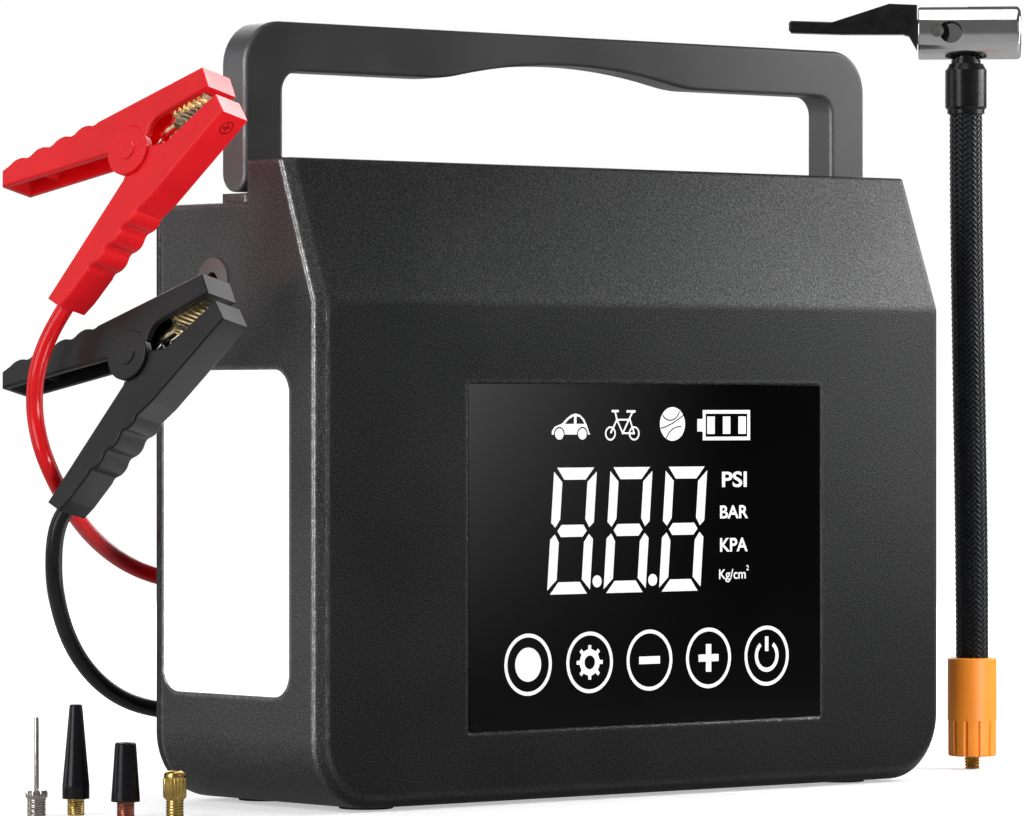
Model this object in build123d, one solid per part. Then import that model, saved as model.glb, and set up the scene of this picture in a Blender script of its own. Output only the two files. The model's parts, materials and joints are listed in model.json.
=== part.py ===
from build123d import *
import os
from math import cos, hypot, pi, radians, sin

# Jump starter pack with a built-in tyre inflator, its clamps, air hose and nozzles.
# Millimetres. The origin is on the floor, midway between the sides and between the
# front and the back of the case. +X runs to the right along the front, +Y to the
# back, +Z up.

# ---------------------------------------------------------------- case
case_w = 250.0
case_d = 80.0
floor_gap = 1.0          # the feet hold the case this far off the floor
shelf_z = 177.0          # flat shelf behind the ridge, where the handle stands
ridge_z = 189.5          # top of the ridge
knee_z = 148.0           # the sloped brow starts here
ridge_y = -24.5
step_y = -5.5            # back of the ridge
corner_r = 20.0          # bottom corners, seen from the front
knee_r = 6.0
band = 3.0               # width of the chamfer round the front
wall = 2.6
skin = 0.02              # air left between fixed pieces that touch

half_w = case_w / 2
front_y = -case_d / 2
rear_y = case_d / 2
inner_x = half_w - wall
inner_front_y = front_y + wall
parting_y = 36.0         # the back cover starts here
parting_gap = 0.2
tongue_l = 2.6
tongue_t = 1.2

# ---------------------------------------------------------------- display
glass_x0, glass_x1 = -69.1, 71.8
glass_z0, glass_z1 = 22.0, 124.0
glass_t = 1.8
glass_fit = 0.15
glass_ledge = 4.0
module_d = 5.0

# ---------------------------------------------------------------- side light
light_y0, light_y1 = -25.7, 34.2
light_z0, light_z1 = 33.2, 128.0
light_r = 7.0
light_t = 1.6
light_fit = 0.12
light_ledge = 2.5

# ---------------------------------------------------------------- air outlet
port_y, port_z = 9.9, 154.0
port_ring_r = 7.2
port_thread_r = 2.6
port_len = 12.0

# ---------------------------------------------------------------- handle
handle_half = 124.6
handle_window = 110.4
handle_top = 230.3
handle_bar_t = 14.5
handle_y = 1.1
handle_r = 5.6           # half the thickness, and the round at the foot of each arm
handle_corner_r = 13.0
handle_inner_r = 6.0
grip_half = 49.0         # the finger arch runs this far each side of the middle
grip_rise = 5.6
pivot_z = 185.6
pivot_pin_r = 2.5
run_fit = 0.05           # radial clearance of everything that turns
lug_in = 98.0
lug_out = 109.5
lug_r = 5.0
rest_pad_h = 2.6         # raised pad on the shelf under each arm of the handle

# ---------------------------------------------------------------- screws and feet
screw_xs = (-100.0, 0.0, 100.0)
screw_zs = (7.1, 170.9)
screw_r = 1.5
screw_len = 15.0
screw_head_r = 2.9
boss_r = 4.0
boss_len = 24.0
foot_r = 8.0
foot_sink = 1.2
foot_places = [(0.0, 0.0)] + [(x, y) for x in (-95.0, 95.0) for y in (-24.0, 24.0)]

# ---------------------------------------------------------------- charging ports
port_bay_y0, port_bay_y1 = -22.0, 24.0
port_bay_z0, port_bay_z1 = 60.0, 80.0
flap_t = 1.6
flap_fit = 0.3
flap_hinge_r = 0.77      # the flap's round top edge, which it swings about

# ---------------------------------------------------------------- battery
cell_w, cell_t, cell_h = 58.0, 9.6, 104.0
cell_count = 4
cell_pitch = cell_t + 0.3
tab_x = 16.0             # the tabs stand this far each side of the cells' middle
battery_x = 60.0
battery_y0 = -22.0
battery_z = 6.0

# ---------------------------------------------------------------- compressor
crank_x, crank_z = -62.0, 96.0
motor_x = -30.4
crank_r = 7.0
gear_module = 0.8
pinion_teeth = 13
gear_teeth = 66
gear_t = 6.0
motor_r = 17.5
motor_len = 36.0
frame_y = -7.0           # front of the compressor's frame plate
frame_t = 3.0
rod_len = 32.0
bore_r = 8.0
cylinder_wall = 1.8
piston_h = 6.0

# ---------------------------------------------------------------- clamps
red_pivot = (-155.0, 12.46, 191.98)
clamp_drop = 59.5        # the black clamp hangs this far under the red one
upper_half = 6.5         # half thickness of the upper lever
cheek = 1.9
lower_half = 5.75
neck_half = upper_half - cheek - 0.1
disc_r = 7.5
disc_half = 7.0
clamp_pin_r = 2.0
lever_wall = 1.7
jaw_open = 30.0

# ---------------------------------------------------------------- cables
cable_r = 2.5
boot_x = -88.0
red_boot_z = 63.0
black_boot_z = 24.0

# ---------------------------------------------------------------- hose
hose_x, hose_y = 171.0, -6.6
hose_r = 5.2
nut_z0, nut_mid, nut_z1 = 4.2, 15.8, 36.0
nut_r, nut_grip_r = 7.95, 7.75
flute_count, flute_r = 12, 0.75
hose_top = 212.2
hose_lean = 2.0
sleeve_top = 229.5
barrel_z = 238.6
barrel_r = 8.75
barrel_left, barrel_right = 15.4, 17.9
lever_pivot_x, lever_pivot_z = -9.25, 0.2
lever_half = 3.1         # half the chuck lever's thickness
lever_pin_r = 2.1
seal_r = 5.8
valve_r = 3.95           # bore that takes a tyre valve

# ---------------------------------------------------------------- nozzles
needle_at = (-187.3, 11.9)
long_cone_at = (-176.8, 7.2)
short_cone_at = (-169.3, -6.6)
adapter_at = (-160.2, -17.9)


def face_of(*edges):
    """Flat face inside a closed chain of edges."""
    return Face(Wire(list(edges)))


def polygon(*points):
    """Flat face inside a closed run of straight lines."""
    return make_face(Polyline(*points, close=True))


def block(x0, x1, y0, y1, z0, z1):
    """Box between two corners."""
    size = (x1 - x0, y1 - y0, z1 - z0)
    middle = Pos((x0 + x1) / 2, (y0 + y1) / 2, (z0 + z1) / 2)
    return middle * Box(*size)


def rod_along(axis, radius, start, length):
    """Cylinder that starts at a point and runs along X, Y or Z."""
    direction = {"X": (1, 0, 0), "Y": (0, 1, 0), "Z": (0, 0, 1)}[axis]
    disc = Plane(origin=start, z_dir=direction) * Circle(radius)
    return extrude(disc, length)


def turned(*profile):
    """Solid of revolution about Z from (radius, z) points."""
    half = polygon(*[(r, z) for r, z in profile])
    return revolve(Plane.XZ * half, Axis.Z)


def save(name, shape):
    """Write one node as a STEP file."""
    solids = shape.solids()
    node = solids[0] if len(solids) == 1 else Compound(children=list(solids))
    export_step(node, f"parts/{name}.step")


# ================================================================ case
def case_profile(inset=0.0):
    """Side view of the case in the YZ plane: shelf, ridge, brow and front."""
    outline = polygon(
        (front_y, floor_gap),
        (front_y, knee_z),
        (ridge_y, ridge_z),
        (step_y, ridge_z),
        (step_y, shelf_z),
        (rear_y, shelf_z),
        (rear_y, floor_gap),
    )
    knee = outline.vertices().sort_by_distance((front_y, knee_z, 0))[0]
    outline = fillet(knee, knee_r)
    if inset:
        outline = offset(outline, -inset, kind=Kind.INTERSECTION)
    return outline


def case_front_view(inset=0.0):
    """Front view of the case in the XZ plane, with its round bottom corners."""
    height = ridge_z - floor_gap
    outline = Pos(0, floor_gap + height / 2) * Rectangle(case_w, height)
    outline = fillet(outline.vertices().group_by(Axis.Y)[0], corner_r)
    if inset:
        outline = offset(outline, -inset, kind=Kind.INTERSECTION)
    return outline


def case_block(inset=0.0):
    """Solid with the case's shape, its faces moved inwards by inset."""
    along_x = extrude(Plane.YZ * case_profile(inset), half_w, both=True)
    along_y = extrude(Plane.XZ * case_front_view(inset), case_d, both=True)
    return along_x & along_y


def on_front_rim(edge):
    """True for the edges where the front and the brow meet the sides and the bottom."""
    middle = edge @ 0.5
    if abs(middle.Y - front_y) < 0.01 and middle.Z < knee_z - knee_r:
        return True
    at_side = abs(abs(middle.X) - half_w) < 0.01
    return at_side and middle.Y < ridge_y - 0.8 and middle.Z > knee_z - knee_r


def in_band(face):
    """True for the faces of the chamfer band."""
    normal = face.normal_at()
    return normal.Y < -0.3 and (abs(normal.X) > 0.3 or normal.Z < -0.3)


def case_outside():
    """The case's outer form with its chamfer band and all its edge rounds."""
    solid = case_block()
    solid = chamfer([e for e in solid.edges() if on_front_rim(e)], band)
    borders = []
    for face in solid.faces():
        if not in_band(face):
            continue
        for edge in face.edges():
            crosses = edge.length < band * 1.6 and not edge.geom_type == GeomType.CIRCLE
            if not crosses and not any(edge.is_same(other) for other in borders):
                borders.append(edge)
    solid = fillet(borders, 0.9)
    for y in (ridge_y, step_y):
        across = [
            e
            for e in solid.edges()
            if e.length > case_w / 2 and abs((e @ 0.5).Z - ridge_z) < 0.01 and abs((e @ 0.5).Y - y) < 0.3
        ]
        solid = fillet(across, 1.0)
    tops = [
        e
        for e in solid.edges()
        if abs(abs((e @ 0.5).X) - half_w) < 0.01
        and (e @ 0.5).Z > shelf_z - 0.1
        and ridge_y + 2.1 < (e @ 0.5).Y < rear_y - 0.1
    ]
    solid = fillet(tops, 0.8)
    return fillet([e for e in solid.edges() if abs((e @ 0.5).Y - rear_y) < 0.01], 3.0)


def side_plate(y0, y1, z0, z1, radius, x0, x1):
    """Rounded rectangular plate that stands in the YZ plane, between x0 and x1."""
    face = Pos((y0 + y1) / 2, (z0 + z1) / 2) * RectangleRounded(y1 - y0, z1 - z0, radius)
    return extrude(Plane.YZ.offset(x0) * face, x1 - x0)


def screw_places():
    """Every case screw's x and z."""
    return [(x, z) for x in screw_xs for z in screw_zs]


def handle_lug(side):
    """Lug on the shelf that carries one handle pin; side is -1 or 1."""
    x0, x1 = sorted((side * lug_in, side * lug_out))
    foot = block(x0, x1, step_y - 0.5, handle_y + lug_r, shelf_z - 1.0, pivot_z)
    back = block(x0, x1, step_y - 0.5, handle_y, pivot_z - 0.1, ridge_z - 1.5)
    top = rod_along("X", lug_r, (x0, handle_y, pivot_z), x1 - x0)
    hole = rod_along("X", pivot_pin_r + skin, (x0 - 1, handle_y, pivot_z), x1 - x0 + 2)
    return foot + back + top - hole


def usb_openings(x0, x1, grow):
    """The charging socket openings through the right wall, as one group of prisms."""
    middle_z = (port_bay_z0 + port_bay_z1) / 2
    prisms = []
    for y, width, height in ((-14.0, 13.2, 5.8), (3.0, 9.0, 3.4)):
        face = Pos(y, middle_z) * RectangleRounded(width + grow, height + grow, 1.2)
        prisms.append(extrude(Plane.YZ.offset(x0) * face, x1 - x0))
    prisms.append(rod_along("X", 3.6 + grow / 2, (x0, 16.0, middle_z), x1 - x0))
    return prisms


def handle_rest(side):
    """Raised pad on the shelf just under one arm of the handle; side is -1 or 1."""
    x0, x1 = sorted((side * (lug_out - 0.5), side * (handle_half - 0.4)))
    return block(x0, x1, handle_y - handle_r, handle_y + handle_r, shelf_z - 1.0, shelf_z + rest_pad_h)


def front_shell():
    """Front moulding: brow, ridge, shelf, sides and bottom, open at the back."""
    shell = case_outside() - case_block(wall)
    shell = shell & block(-case_w, case_w, front_y - 1, parting_y - parting_gap / 2, -1, ridge_z + 1)
    ledge = block(
        glass_x0 - 3, glass_x1 + 3, inner_front_y - 0.1, inner_front_y + 1.6, glass_z0 - 3, glass_z1 + 3
    )
    shell = shell + ledge
    shell = shell - block(
        glass_x0 - glass_fit,
        glass_x1 + glass_fit,
        front_y - 1,
        front_y + glass_t,
        glass_z0 - glass_fit,
        glass_z1 + glass_fit,
    )
    shell = shell - block(
        glass_x0 + glass_ledge,
        glass_x1 - glass_ledge,
        front_y,
        front_y + 8,
        glass_z0 + glass_ledge,
        glass_z1 - glass_ledge,
    )
    for inset, depth in ((-light_fit, light_t), (light_ledge, wall + 1)):
        shell = shell - side_plate(
            light_y0 + inset,
            light_y1 - inset,
            light_z0 + inset,
            light_z1 - inset,
            light_r - inset,
            -half_w - 1,
            -half_w + depth,
        )
    shell = shell - rod_along("X", 5.62, (-half_w - 1, port_y, port_z), wall + 2)
    for side in (-1, 1):
        shell = shell + handle_lug(side) + handle_rest(side)
    for x, z in screw_places():
        start = parting_y - boss_len
        boss = rod_along("Y", boss_r, (x, start, z), rear_y - wall - skin - start)
        shell = shell + boss - rod_along("Y", screw_r + skin, (x, start + 4, z), boss_len)
    for x, y in foot_places:
        shell = shell - rod_along("Z", foot_r + 0.1, (x, y, floor_gap - 1), foot_sink + 1)
    shell = shell - block(
        half_w - flap_t,
        half_w + 1,
        port_bay_y0 - flap_fit,
        port_bay_y1 + flap_fit,
        port_bay_z0 - flap_fit,
        port_bay_z1 + flap_fit,
    )
    for prism in usb_openings(half_w - 10, half_w + 1, 0.4):
        shell = shell - prism
    return shell - finger_notch(half_w - flap_t, half_w + 1)


def finger_notch(x0, x1):
    """Half-round dip under the port flap, for a fingertip."""
    y = (port_bay_y0 + port_bay_y1) / 2
    return rod_along("X", 5.0, (x0, y, port_bay_z0 - 1.5), x1 - x0)


def rear_view(inset):
    """The back of the case seen from behind: up to the shelf only."""
    height = shelf_z - floor_gap
    outline = Pos(0, floor_gap + height / 2) * Rectangle(case_w, height)
    outline = fillet(outline.vertices().group_by(Axis.Y)[0], corner_r)
    return offset(outline, -inset, kind=Kind.INTERSECTION)


def rear_cover():
    """Back cover with its locating tongue, vents, screw holes and cable holes."""
    cover = case_outside() - case_block(wall)
    cover = cover & block(-case_w, case_w, parting_y + parting_gap / 2, rear_y + 1, -1, ridge_z)
    ring = rear_view(wall + 0.15) - rear_view(wall + 0.15 + tongue_t)
    y0 = parting_y - tongue_l
    tongue = extrude(Plane.XZ.offset(-y0) * ring, -(rear_y - wall + 0.1 - y0))
    for x, z in screw_places():
        tongue = tongue - rod_along("Y", boss_r + 0.3, (x, y0 - 1, z), 8)
    cover = cover + tongue
    for x, z in screw_places():
        cover = cover - rod_along("Y", boss_r + 0.3, (x, y0 - 1, z), rear_y - wall - y0 + 1)
        cover = cover - rod_along("Y", screw_r + 0.1, (x, y0 - 1, z), 10)
        cone = Plane(origin=(x, rear_y, z), z_dir=(0, -1, 0)) * Pos(0, 0, 0.8)
        cover = cover - cone * Cone(screw_head_r + 0.9, screw_r - 0.1, 3.2)
    for z in (red_boot_z, black_boot_z):
        cover = cover - rod_along("Y", 5.04, (boot_x, rear_y - 6, z), 8)
    for side in (-1, 1):
        for step in range(9):
            slot = Pos(side * 62.0, 92.0 + 6.5 * step) * SlotOverall(44.0, 2.6)
            cover = cover - extrude(Plane.XZ.offset(-(rear_y + 1)) * slot, 5)
    return cover


def display_glass():
    """Touch glass, standing a little proud of the front."""
    glass = block(glass_x0, glass_x1, front_y - 0.3, front_y + glass_t - skin, glass_z0, glass_z1)
    front_edges = [e for e in glass.edges() if abs((e @ 0.5).Y - (front_y - 0.3)) < 0.01]
    return fillet(front_edges, 0.25)


def display_module():
    """Segment display and touch board behind the glass."""
    back = front_y + glass_t
    reflector = block(glass_x0 + 8, glass_x1 - 8, back, back + 2.7, glass_z0 + 8, glass_z1 - 8)
    board_y = inner_front_y + 1.65
    board = block(glass_x0 + 1, glass_x1 - 1, board_y, board_y + 1.4, glass_z0 + 1, glass_z1 - 1)
    chip = block(60.0, 68.0, board_y + 1.3, board_y + 3.0, 40.0, 48.0)
    socket = block(44.0, 64.0, board_y + 1.3, board_y + 5.0, 104.0, 110.0)
    return reflector + block(-20.0, 20.0, back + 2.0, board_y + 0.1, 50.0, 90.0) + board + chip + socket


def light_lens():
    """White diffuser of the side light."""
    lens = side_plate(
        light_y0, light_y1, light_z0, light_z1, light_r, -half_w - 0.2, -half_w + light_t - skin
    )
    rim = [e for e in lens.edges() if abs((e @ 0.5).X + half_w + 0.2) < 0.01]
    return fillet(rim, 0.3)


def light_board():
    """Board of light-emitting diodes behind the lens."""
    x = -inner_x + 0.6
    board = block(x, x + 1.6, light_y0 + 6, light_y1 - 6, light_z0 + 6, light_z1 - 6)
    for row in range(6):
        for y in (-8.0, 4.0, 16.0):
            z = light_z0 + 15 + 13 * row
            board = board + block(x - 0.9, x + 0.1, y - 1.75, y + 1.75, z - 1.75, z + 1.75)
    return board


# ================================================================ air outlet
def outlet_ring():
    """Grey collar round the air outlet."""
    x = -half_w
    flange = rod_along("X", port_ring_r, (x - 0.8, port_y, port_z), 0.8 - skin)
    sleeve = rod_along("X", 5.6, (x - 0.4, port_y, port_z), wall + 1.4)
    mouth = rod_along("X", 2.8, (x - 2, port_y, port_z), 6)
    seat = rod_along("X", 4.0 + skin, (x + 0.2, port_y, port_z), 6)
    ring = flange + sleeve - mouth - seat
    rim = [e for e in ring.edges() if abs((e @ 0.5).X - (x - 0.8)) < 0.01 and e.radius > 5]
    return fillet(rim, 0.4)


def air_outlet():
    """Brass socket with the hose thread; the air tube pushes on behind it."""
    x = -half_w + 0.4
    body = rod_along("X", 4.0, (x, port_y, port_z), port_len)
    barb = rod_along("X", 2.0, (x + port_len - 0.1, port_y, port_z), 5.0)
    thread = rod_along("X", port_thread_r, (x - 1, port_y, port_z), port_len)
    bore = rod_along("X", 1.0, (x, port_y, port_z), port_len + 6)
    return body + barb - thread - bore


def air_tube():
    """Silicone tube from the cylinder head to the outlet."""
    outlet_x = -half_w + 0.4 + port_len + 0.2
    start = (outlet_x, port_y, port_z)
    leave = (outlet_x + 5.5, port_y, port_z)
    reach = (head_barb_x() - 4.5, cylinder_y(), head_z())
    end = (head_barb_x(), cylinder_y(), head_z())
    bend = Spline(leave, reach, tangents=((1, 0, 0), (1, 0, 0)))
    path = Wire([Line(start, leave), bend, Line(reach, end)])
    section = Plane(origin=start, z_dir=(1, 0, 0))
    return sweep(section * Circle(3.2), path) - sweep(section * Circle(2.0 + skin), path)


# ================================================================ handle
def handle_opening(top, bottom):
    """Space inside the handle: round top corners, and a finger arch that blends into the bar."""
    side, r = handle_window, handle_inner_r
    diagonal = r * (1 - cos(pi / 4))
    arch = ThreePointArc((-grip_half + 6, top + 1.2), (0, top + grip_rise), (grip_half - 6, top + 1.2))
    return face_of(
        Line((-side, bottom), (-side, top - r)),
        ThreePointArc((-side, top - r), (-side + diagonal, top - diagonal), (-side + r, top)),
        Line((-side + r, top), (-grip_half - 5, top)),
        Spline((-grip_half - 5, top), arch @ 0, tangents=((1, 0), arch % 0)),
        arch,
        Spline(arch @ 1, (grip_half + 5, top), tangents=(arch % 1, (1, 0))),
        Line((grip_half + 5, top), (side - r, top)),
        ThreePointArc((side - r, top), (side - diagonal, top - diagonal), (side, top - r)),
        Line((side, top - r), (side, bottom)),
        Line((side, bottom), (-side, bottom)),
    )


def handle_bar():
    """Carry handle: two arms with round feet and a bar with a finger arch."""
    foot_z = pivot_z - handle_r
    height = handle_top - foot_z
    outer = Pos(0, foot_z + height / 2) * Rectangle(2 * handle_half, height)
    outer = fillet(outer.vertices().group_by(Axis.Y)[-1], handle_corner_r)
    opening = handle_opening(handle_top - handle_bar_t, foot_z - 10)
    bar = extrude(Plane.XZ.offset(-handle_y) * (outer - opening), handle_r, both=True)
    side = Pos(handle_y, (pivot_z + handle_top) / 2) * Rectangle(2 * handle_r, handle_top - pivot_z)
    side = side + Pos(handle_y, pivot_z) * Circle(handle_r)
    bar = bar & extrude(Plane.YZ * side, case_w, both=True)
    rims = []
    for edge in bar.edges():
        middle = edge @ 0.5
        flat = abs(abs(middle.Y - handle_y) - handle_r) < 0.01
        across = abs(middle.Z - pivot_z) < 0.01
        foot = middle.Z < pivot_z - 0.5 * handle_r
        if (flat and not across) or foot:
            rims.append(edge)
    bar = fillet(rims, 1.0)
    for side_sign in (-1, 1):
        x = handle_window - 1 if side_sign > 0 else -handle_window - 10.6
        bar = bar - rod_along("X", pivot_pin_r + run_fit, (x, handle_y, pivot_z), 11.6)
    return bar


def handle_pivot_pins():
    """The two headed pins that the handle folds on."""
    pins = []
    for side in (-1, 1):
        x0, x1 = sorted((side * (lug_in - 1.6), side * (handle_window + 10)))
        head_x = x0 if side > 0 else x1 - 1.5
        pin = rod_along("X", pivot_pin_r, (x0, handle_y, pivot_z), x1 - x0)
        pins.append(pin + rod_along("X", 4.0, (head_x, handle_y, pivot_z), 1.5))
    return Compound(children=pins)


def handle_washers():
    """Nylon washers between the lugs and the handle's arms."""
    rings = []
    for side in (-1, 1):
        x = lug_out + 0.05 if side > 0 else -lug_out - 0.8
        ring = rod_along("X", 4.4, (x, handle_y, pivot_z), 0.75)
        rings.append(ring - rod_along("X", pivot_pin_r + skin, (x - 1, handle_y, pivot_z), 3))
    return Compound(children=rings)


# ================================================================ screws and feet
def case_screws():
    """Countersunk screws that hold the back cover on."""
    screws = []
    for x, z in screw_places():
        top = rear_y - 0.3
        shank = rod_along("Y", screw_r, (x, top - screw_len, z), screw_len - 1)
        head = Plane(origin=(x, top, z), z_dir=(0, -1, 0)) * Pos(0, 0, 0.75)
        screw = shank + head * Cone(screw_head_r, screw_r, 1.5)
        for turn in (0, 90):
            cut = Plane(origin=(x, top - 0.4, z), z_dir=(0, -1, 0)) * Rot(0, 0, turn)
            screw = screw - cut * Box(3.2, 0.6, 1.0)
        screws.append(screw)
    return Compound(children=screws)


def rubber_feet():
    """Five round feet under the case, one of them in the middle."""
    feet = []
    for x, y in foot_places:
        foot = rod_along("Z", foot_r, (x, y, 0), floor_gap + foot_sink - skin)
        feet.append(fillet([e for e in foot.edges() if (e @ 0.5).Z < 0.01], 0.4))
    return Compound(children=feet)


# ================================================================ ports
def port_sockets():
    """Metal socket shells behind the port flap."""
    x1 = half_w - flap_t - 0.2
    x0 = x1 - 13.0
    shells = []
    outside = usb_openings(x0, x1, 0.2)
    inside = usb_openings(x0 + 2, x1 + 1, -0.8)
    for solid, hollow in zip(outside, inside):
        shells.append(solid - hollow)
    return Compound(children=shells)


def port_board():
    """Upright board that carries the sockets."""
    x1 = half_w - flap_t - 0.2 - 13.0 - skin
    return block(x1 - 1.6, x1, port_bay_y0 - 3, port_bay_y1 + 3, port_bay_z0 - 6, port_bay_z1 + 6)


def port_cover():
    """Rubber flap over the ports; its round top edge is the hinge."""
    flap = block(
        half_w - flap_t + 0.05, half_w, port_bay_y0, port_bay_y1, port_bay_z0, port_bay_z1
    )
    low = [e for e in flap.edges() if e.length < 2 and (e @ 0.5).Z < port_bay_z0 + 1]
    flap = fillet(low, 2.5)
    top = [e for e in flap.edges() if e.length > 30 and (e @ 0.5).Z > port_bay_z1 - 0.01]
    flap = fillet(top, flap_hinge_r)
    rib = block(
        half_w - 0.01, half_w + 0.7, port_bay_y0 + 14, port_bay_y1 - 14, port_bay_z0 + 1.5, port_bay_z0 + 3
    )
    return flap + rib


# ================================================================ battery and boards
def battery_cells():
    """Pouch cells stacked front to back, with their tabs at the top."""
    pouches = []
    for index in range(cell_count):
        y = battery_y0 + index * cell_pitch
        top = battery_z + cell_h
        cell = block(battery_x - cell_w / 2, battery_x + cell_w / 2, y, y + cell_t, battery_z, top)
        cell = fillet(cell.edges().filter_by(Axis.Z), 2.5)
        for x in (battery_x - tab_x, battery_x + tab_x):
            cell = cell + block(x - 4, x + 4, y + 4.4, y + 5.0, top - 1, top + 4)
        pouches.append(cell)
    return Compound(children=pouches)


def battery_tray():
    """Open tray that holds the cells on the case floor."""
    depth = cell_count * cell_pitch
    x0, x1 = battery_x - cell_w / 2 - 0.2, battery_x + cell_w / 2 + 0.2
    y0, y1 = battery_y0 - 0.2, battery_y0 + depth
    z0 = floor_gap + wall + skin
    tray = block(x0 - 1.5, x1 + 1.5, y0 - 1.5, y1 + 1.5, z0, battery_z + 28)
    return tray - block(x0, x1, y0, y1, battery_z - skin, battery_z + 60)


def bus_bars():
    """Copper bars from the cells to the two clamp cables."""
    y0 = 27.0
    top = battery_z + cell_h + 4.1
    bars = []
    for z, x in ((red_boot_z, battery_x - tab_x), (black_boot_z, battery_x + tab_x)):
        run = block(boot_x - 5, x + 4, y0, y0 + 1.5, z - 4, z + 4)
        riser = block(x - 4, x + 4, y0, y0 + 1.5, z, top + 1.2)
        lid = block(x - 4, x + 4, battery_y0 + 3, y0 + 1, top, top + 1.2)
        bars.append(run + riser + lid)
    return Compound(children=bars)


def main_board():
    """Main circuit board, upright behind the battery."""
    return block(8.0, 116.0, 31.0, 32.6, 118.0, 166.0)


def board_parts():
    """Start relay, chokes, capacitors and sockets on the main board."""
    y = 31.0 - skin
    parts = [
        block(18.0, 46.0, y - 22, y, 126.0, 152.0),
        block(84.0, 104.0, y - 6, y, 128.0, 132.0),
        block(84.0, 92.0, y - 2, y, 142.0, 150.0),
    ]
    for x, radius, length in ((56.0, 5.0, 16.0), (69.0, 5.0, 16.0)):
        parts.append(rod_along("Y", radius, (x, y - length, 134.0), length))
    coil = rod_along("Y", 8.0, (72.0, y - 7, 154.0), 7) - rod_along("Y", 3.5, (72.0, y - 8, 154.0), 9)
    parts.append(coil)
    return Compound(children=parts)


# ================================================================ compressor
def cylinder_y():
    """How far forward the cylinder and the connecting rod stand."""
    return frame_y - 15.4


def top_pin_z():
    """Height of the crank pin with the piston at the top."""
    return crank_z + crank_r


def piston_z():
    """Underside of the piston at the top of its stroke."""
    return top_pin_z() + rod_len + 6.0


def head_z():
    """Height of the air passage in the cylinder head."""
    return piston_z() + piston_h + 7.0


def head_barb_x():
    """Where the air tube ends on the cylinder head."""
    return crank_x - bore_r - cylinder_wall - 2.6


def spur_gear(teeth, thickness):
    """Spur gear about the Y axis with straight-flanked teeth, one tooth pointing to +X."""
    pitch_r = gear_module * teeth / 2
    root_r = pitch_r - 1.15 * gear_module
    tip_r = pitch_r + 0.85 * gear_module
    pitch = 360 / teeth
    flank = ((root_r, 0.36), (pitch_r, 0.225), (tip_r, 0.11))
    corners = [(r, -share) for r, share in flank] + [(r, share) for r, share in reversed(flank)]
    points = []
    for index in range(teeth):
        for radius, share in corners:
            turn = radians((index + share) * pitch)
            points.append((radius * cos(turn), radius * sin(turn)))
    disc = polygon(*points)
    return extrude(Plane.XZ * disc, -thickness)


def motor_can():
    """Direct-current motor with its end boss."""
    y0 = frame_y + frame_t + skin
    can = rod_along("Y", motor_r, (motor_x, y0, crank_z), motor_len)
    can = fillet([e for e in can.edges() if (e @ 0.5).Y > y0 + 1], 2.0)
    can = can + rod_along("Y", 5.0, (motor_x, y0 + motor_len - 0.1, crank_z), 1.6)
    end = y0 + motor_len
    for x in (motor_x - 10, motor_x + 10):
        can = can + block(x - 1.5, x + 1.5, end - 0.5, end + 2, crank_z - 3, crank_z + 3)
    return can - rod_along("Y", 1.6 + run_fit, (motor_x, y0 - 1, crank_z), 13)


def motor_pinion():
    """Motor shaft with its pinion; an odd tooth count leaves a gap facing the big gear."""
    gear_y = frame_y - 12.0
    pinion = Pos(motor_x, gear_y, crank_z) * spur_gear(pinion_teeth, gear_t)
    return pinion + rod_along("Y", 1.6, (motor_x, gear_y, crank_z), 24)


def crank_gear():
    """Large gear that carries the crank pin."""
    gear_y = frame_y - 12.0
    gear = Pos(crank_x, gear_y, crank_z) * spur_gear(gear_teeth, gear_t)
    for back, depth in ((False, 2.0), (True, 2.0)):
        y = gear_y + gear_t - depth if back else gear_y
        ring = rod_along("Y", 22.5, (crank_x, y, crank_z), depth)
        gear = gear - (ring - rod_along("Y", 11.0, (crank_x, y - 1, crank_z), depth + 2))
    for index in range(6):
        turn = radians(60 * index + 30)
        x = crank_x + 17 * cos(turn)
        z = crank_z + 17 * sin(turn)
        gear = gear - rod_along("Y", 3.6, (x, gear_y - 1, z), gear_t + 2)
    pin = rod_along("Y", 2.4, (crank_x, gear_y - 1.2, top_pin_z()), 3)
    return gear + pin - rod_along("Y", 4.0 + skin, (crank_x, gear_y - 2, crank_z), gear_t + 4)


def crank_axle():
    """Axle of the crank gear, with a collar behind the frame."""
    y0 = frame_y - 12.0
    axle = rod_along("Y", 4.0, (crank_x, y0, crank_z), 22)
    return axle + rod_along("Y", 5.6, (crank_x, frame_y + frame_t + 1.2, crank_z), 2)


def crank_bush():
    """Bronze bush in the frame for the axle."""
    y0 = frame_y - 1.0
    bush = rod_along("Y", 6.5, (crank_x, y0, crank_z), frame_t + 2)
    return bush - rod_along("Y", 4.0 + run_fit, (crank_x, y0 - 1, crank_z), frame_t + 4)


def compressor_frame():
    """Steel plate on two legs that joins motor, crank and cylinder."""
    y0, y1 = frame_y, frame_y + frame_t
    plate = block(crank_x - 28, motor_x + 20, y0, y1, crank_z - 24, piston_z() + 8)
    for x in (crank_x - 24, motor_x + 16):
        plate = plate + block(x - 4, x + 4, y0, y1, floor_gap + wall + skin, crank_z)
    saddle = block(crank_x - 13, crank_x + 13, cylinder_y() + 1, y1, crank_z + 31, piston_z() + 6)
    plate = plate + saddle
    plate = plate - rod_along("Z", bore_r + cylinder_wall + skin, (crank_x, cylinder_y(), crank_z), 80)
    plate = plate - rod_along("Y", 6.5 + skin, (crank_x, y0 - 1, crank_z), frame_t + 2)
    return plate - rod_along("Y", 1.6 + 0.6, (motor_x, y0 - 1, crank_z), frame_t + 2)


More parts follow.
